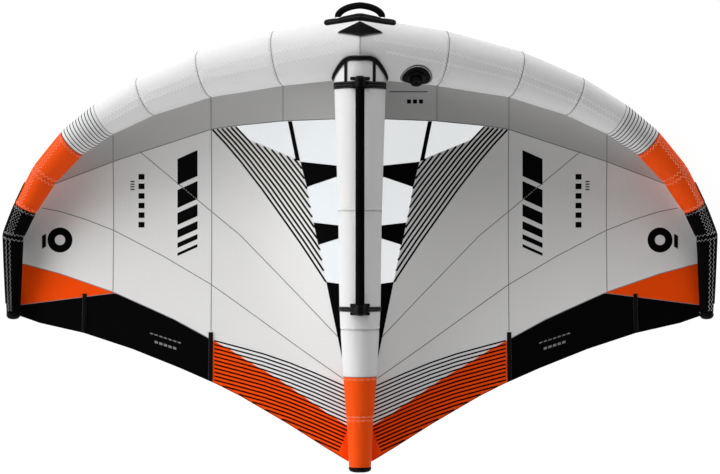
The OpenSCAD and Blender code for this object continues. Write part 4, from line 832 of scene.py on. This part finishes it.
# a pale edge line round it
n = 96; A_ = np.linspace(0, 2 * math.pi, n, endpoint=False)
R = [[on_tube(52.6, a, 2.6), on_tube(52.6, a, 3.6), on_tube(54.0, a, 3.6), on_tube(54.0, a, 2.6)] for a in A_]
v, f = loft(R, closed=True); bag.add(v, f, None, 2)
n = 110
for q in range(0, n, 2):
    a, a2 = 2 * math.pi * q / n, 2 * math.pi * (q + 1) / n
    thread(bag, [on_tube(49.5, a, 3.0), on_tube(49.5, a2, 3.0)], [vn] * 2, 0.5, 0.4, mat=1)
bag.make("valve_patch_disc", ["rubber", "thread_grey", "thread_white"], slot="valve_rubber", replaces=["valve_patch"])
def vp(x, y, z): return vo + vt * x + vy * y + vn * z
R = []
for z, r in ((3.5, 17.7), (3.5, 21.4), (4.2, 22.0), (18, 22.0), (20.5, 21.4), (22, 19.5), (22.5, 16.5), (21.9, 13), (21.9, 4)):
    R.append([vp((r + (0.35 * (1 if (i // 2) % 2 else -1) if 4 < z < 20 and r > 21 else 0)) * math.cos(2 * math.pi * i / 96), (r + (0.35 * (1 if (i // 2) % 2 else -1) if 4 < z < 20 and r > 21 else 0)) * math.sin(2 * math.pi * i / 96), z) for i in range(96)])
R += [[vp(r * math.cos(2 * math.pi * i / 96), r * math.sin(2 * math.pi * i / 96), z) for i in range(96)] for z, r in ((19.9, 4), (19.9, 17.6))]
v, f = loft(R, closed=True); bag = Bag(); bag.add(v, f)
R = []
for y, hw_ in ((20.5, 8.2), (22.2, 7.0)):
    R.append([vp(-hw_, y, 3.7), vp(hw_, y, 3.7), vp(hw_, y, 8.4), vp(-hw_, y, 8.4)])
v, f = loft(R); bag.add(v, f)
bag.make("valve_cap_moulding", ["rubber"], body="valve_cap", slot="valve_rubber", replaces=["valve_cap"], angle=35)

# ------------------------------------------------------------------ CAD pieces that stay, with their finishes
KEEP = {"valve_body": "valve", "valve_diaphragm": "silicone", "valve_tether": "rubber", "handle_webbing": "webbing", "handle_pins": "plastic",
        "le_bladder": "bladder", "strut_bladder": "bladder", "one_pump_hose": "rubber", "hose_clamps": "plastic"}
for n_, k_ in KEEP.items():
    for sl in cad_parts[n_].material_slots: sl.link = "OBJECT"; sl.material = M[k_]

# ------------------------------------------------------------------ stage and light
me = bpy.data.meshes.new("floor"); me.from_pydata([(-30, -30, 0), (30, -30, 0), (30, 30, 0), (-30, 30, 0)], [], [[0, 1, 2, 3]])
floor = bpy.data.objects.new("floor", me); sc.collection.objects.link(floor)
m, nt, b = new_mat("floor_pale"); b.inputs["Base Color"].default_value = (0.16, 0.16, 0.16, 1); b.inputs["Roughness"].default_value = 0.9
b.inputs["Specular IOR Level"].default_value = 0.0
b.inputs["Emission Color"].default_value = (1, 1, 1, 1); b.inputs["Emission Strength"].default_value = 0.93
me.materials.append(m)
def add_sun(name, energy, angle, elev, az):
    """A soft light; az is counted from the left of the picture towards its top, both in the wing frame."""
    sun = bpy.data.lights.new(name, "SUN"); sun.energy = energy; sun.angle = math.radians(angle)
    so = bpy.data.objects.new(name, sun); sc.collection.objects.link(so)
    e, a = math.radians(elev), math.radians(az)
    d = Vector((-math.cos(e) * math.cos(a), math.cos(e) * math.sin(a), math.sin(e)))
    so.rotation_mode = 'QUATERNION'; so.rotation_quaternion = (PL.to_3x3() @ d).to_track_quat('Z', 'Y')
for name, energy, az, elev in (("left", 1.6, 0, 14), ("top_left", 1.78, 45, 14), ("top", 1.72, 90, 14), ("bottom", 1.29, 270, 14), ("bottom_left", 0.74, 315, 14),
                               ("bottom_right", 0.45, 225, 14), ("top_high", 0.36, 90, 38), ("top_right_high", 0.27, 135, 38)):
    add_sun(name, energy, 45, elev, az)
w = bpy.data.worlds.new("world"); sc.world = w; w.use_nodes = True
w.node_tree.nodes["Background"].inputs[0].default_value = (1, 1, 1, 1); w.node_tree.nodes["Background"].inputs[1].default_value = 0.03
sc.view_settings.view_transform = 'Standard'
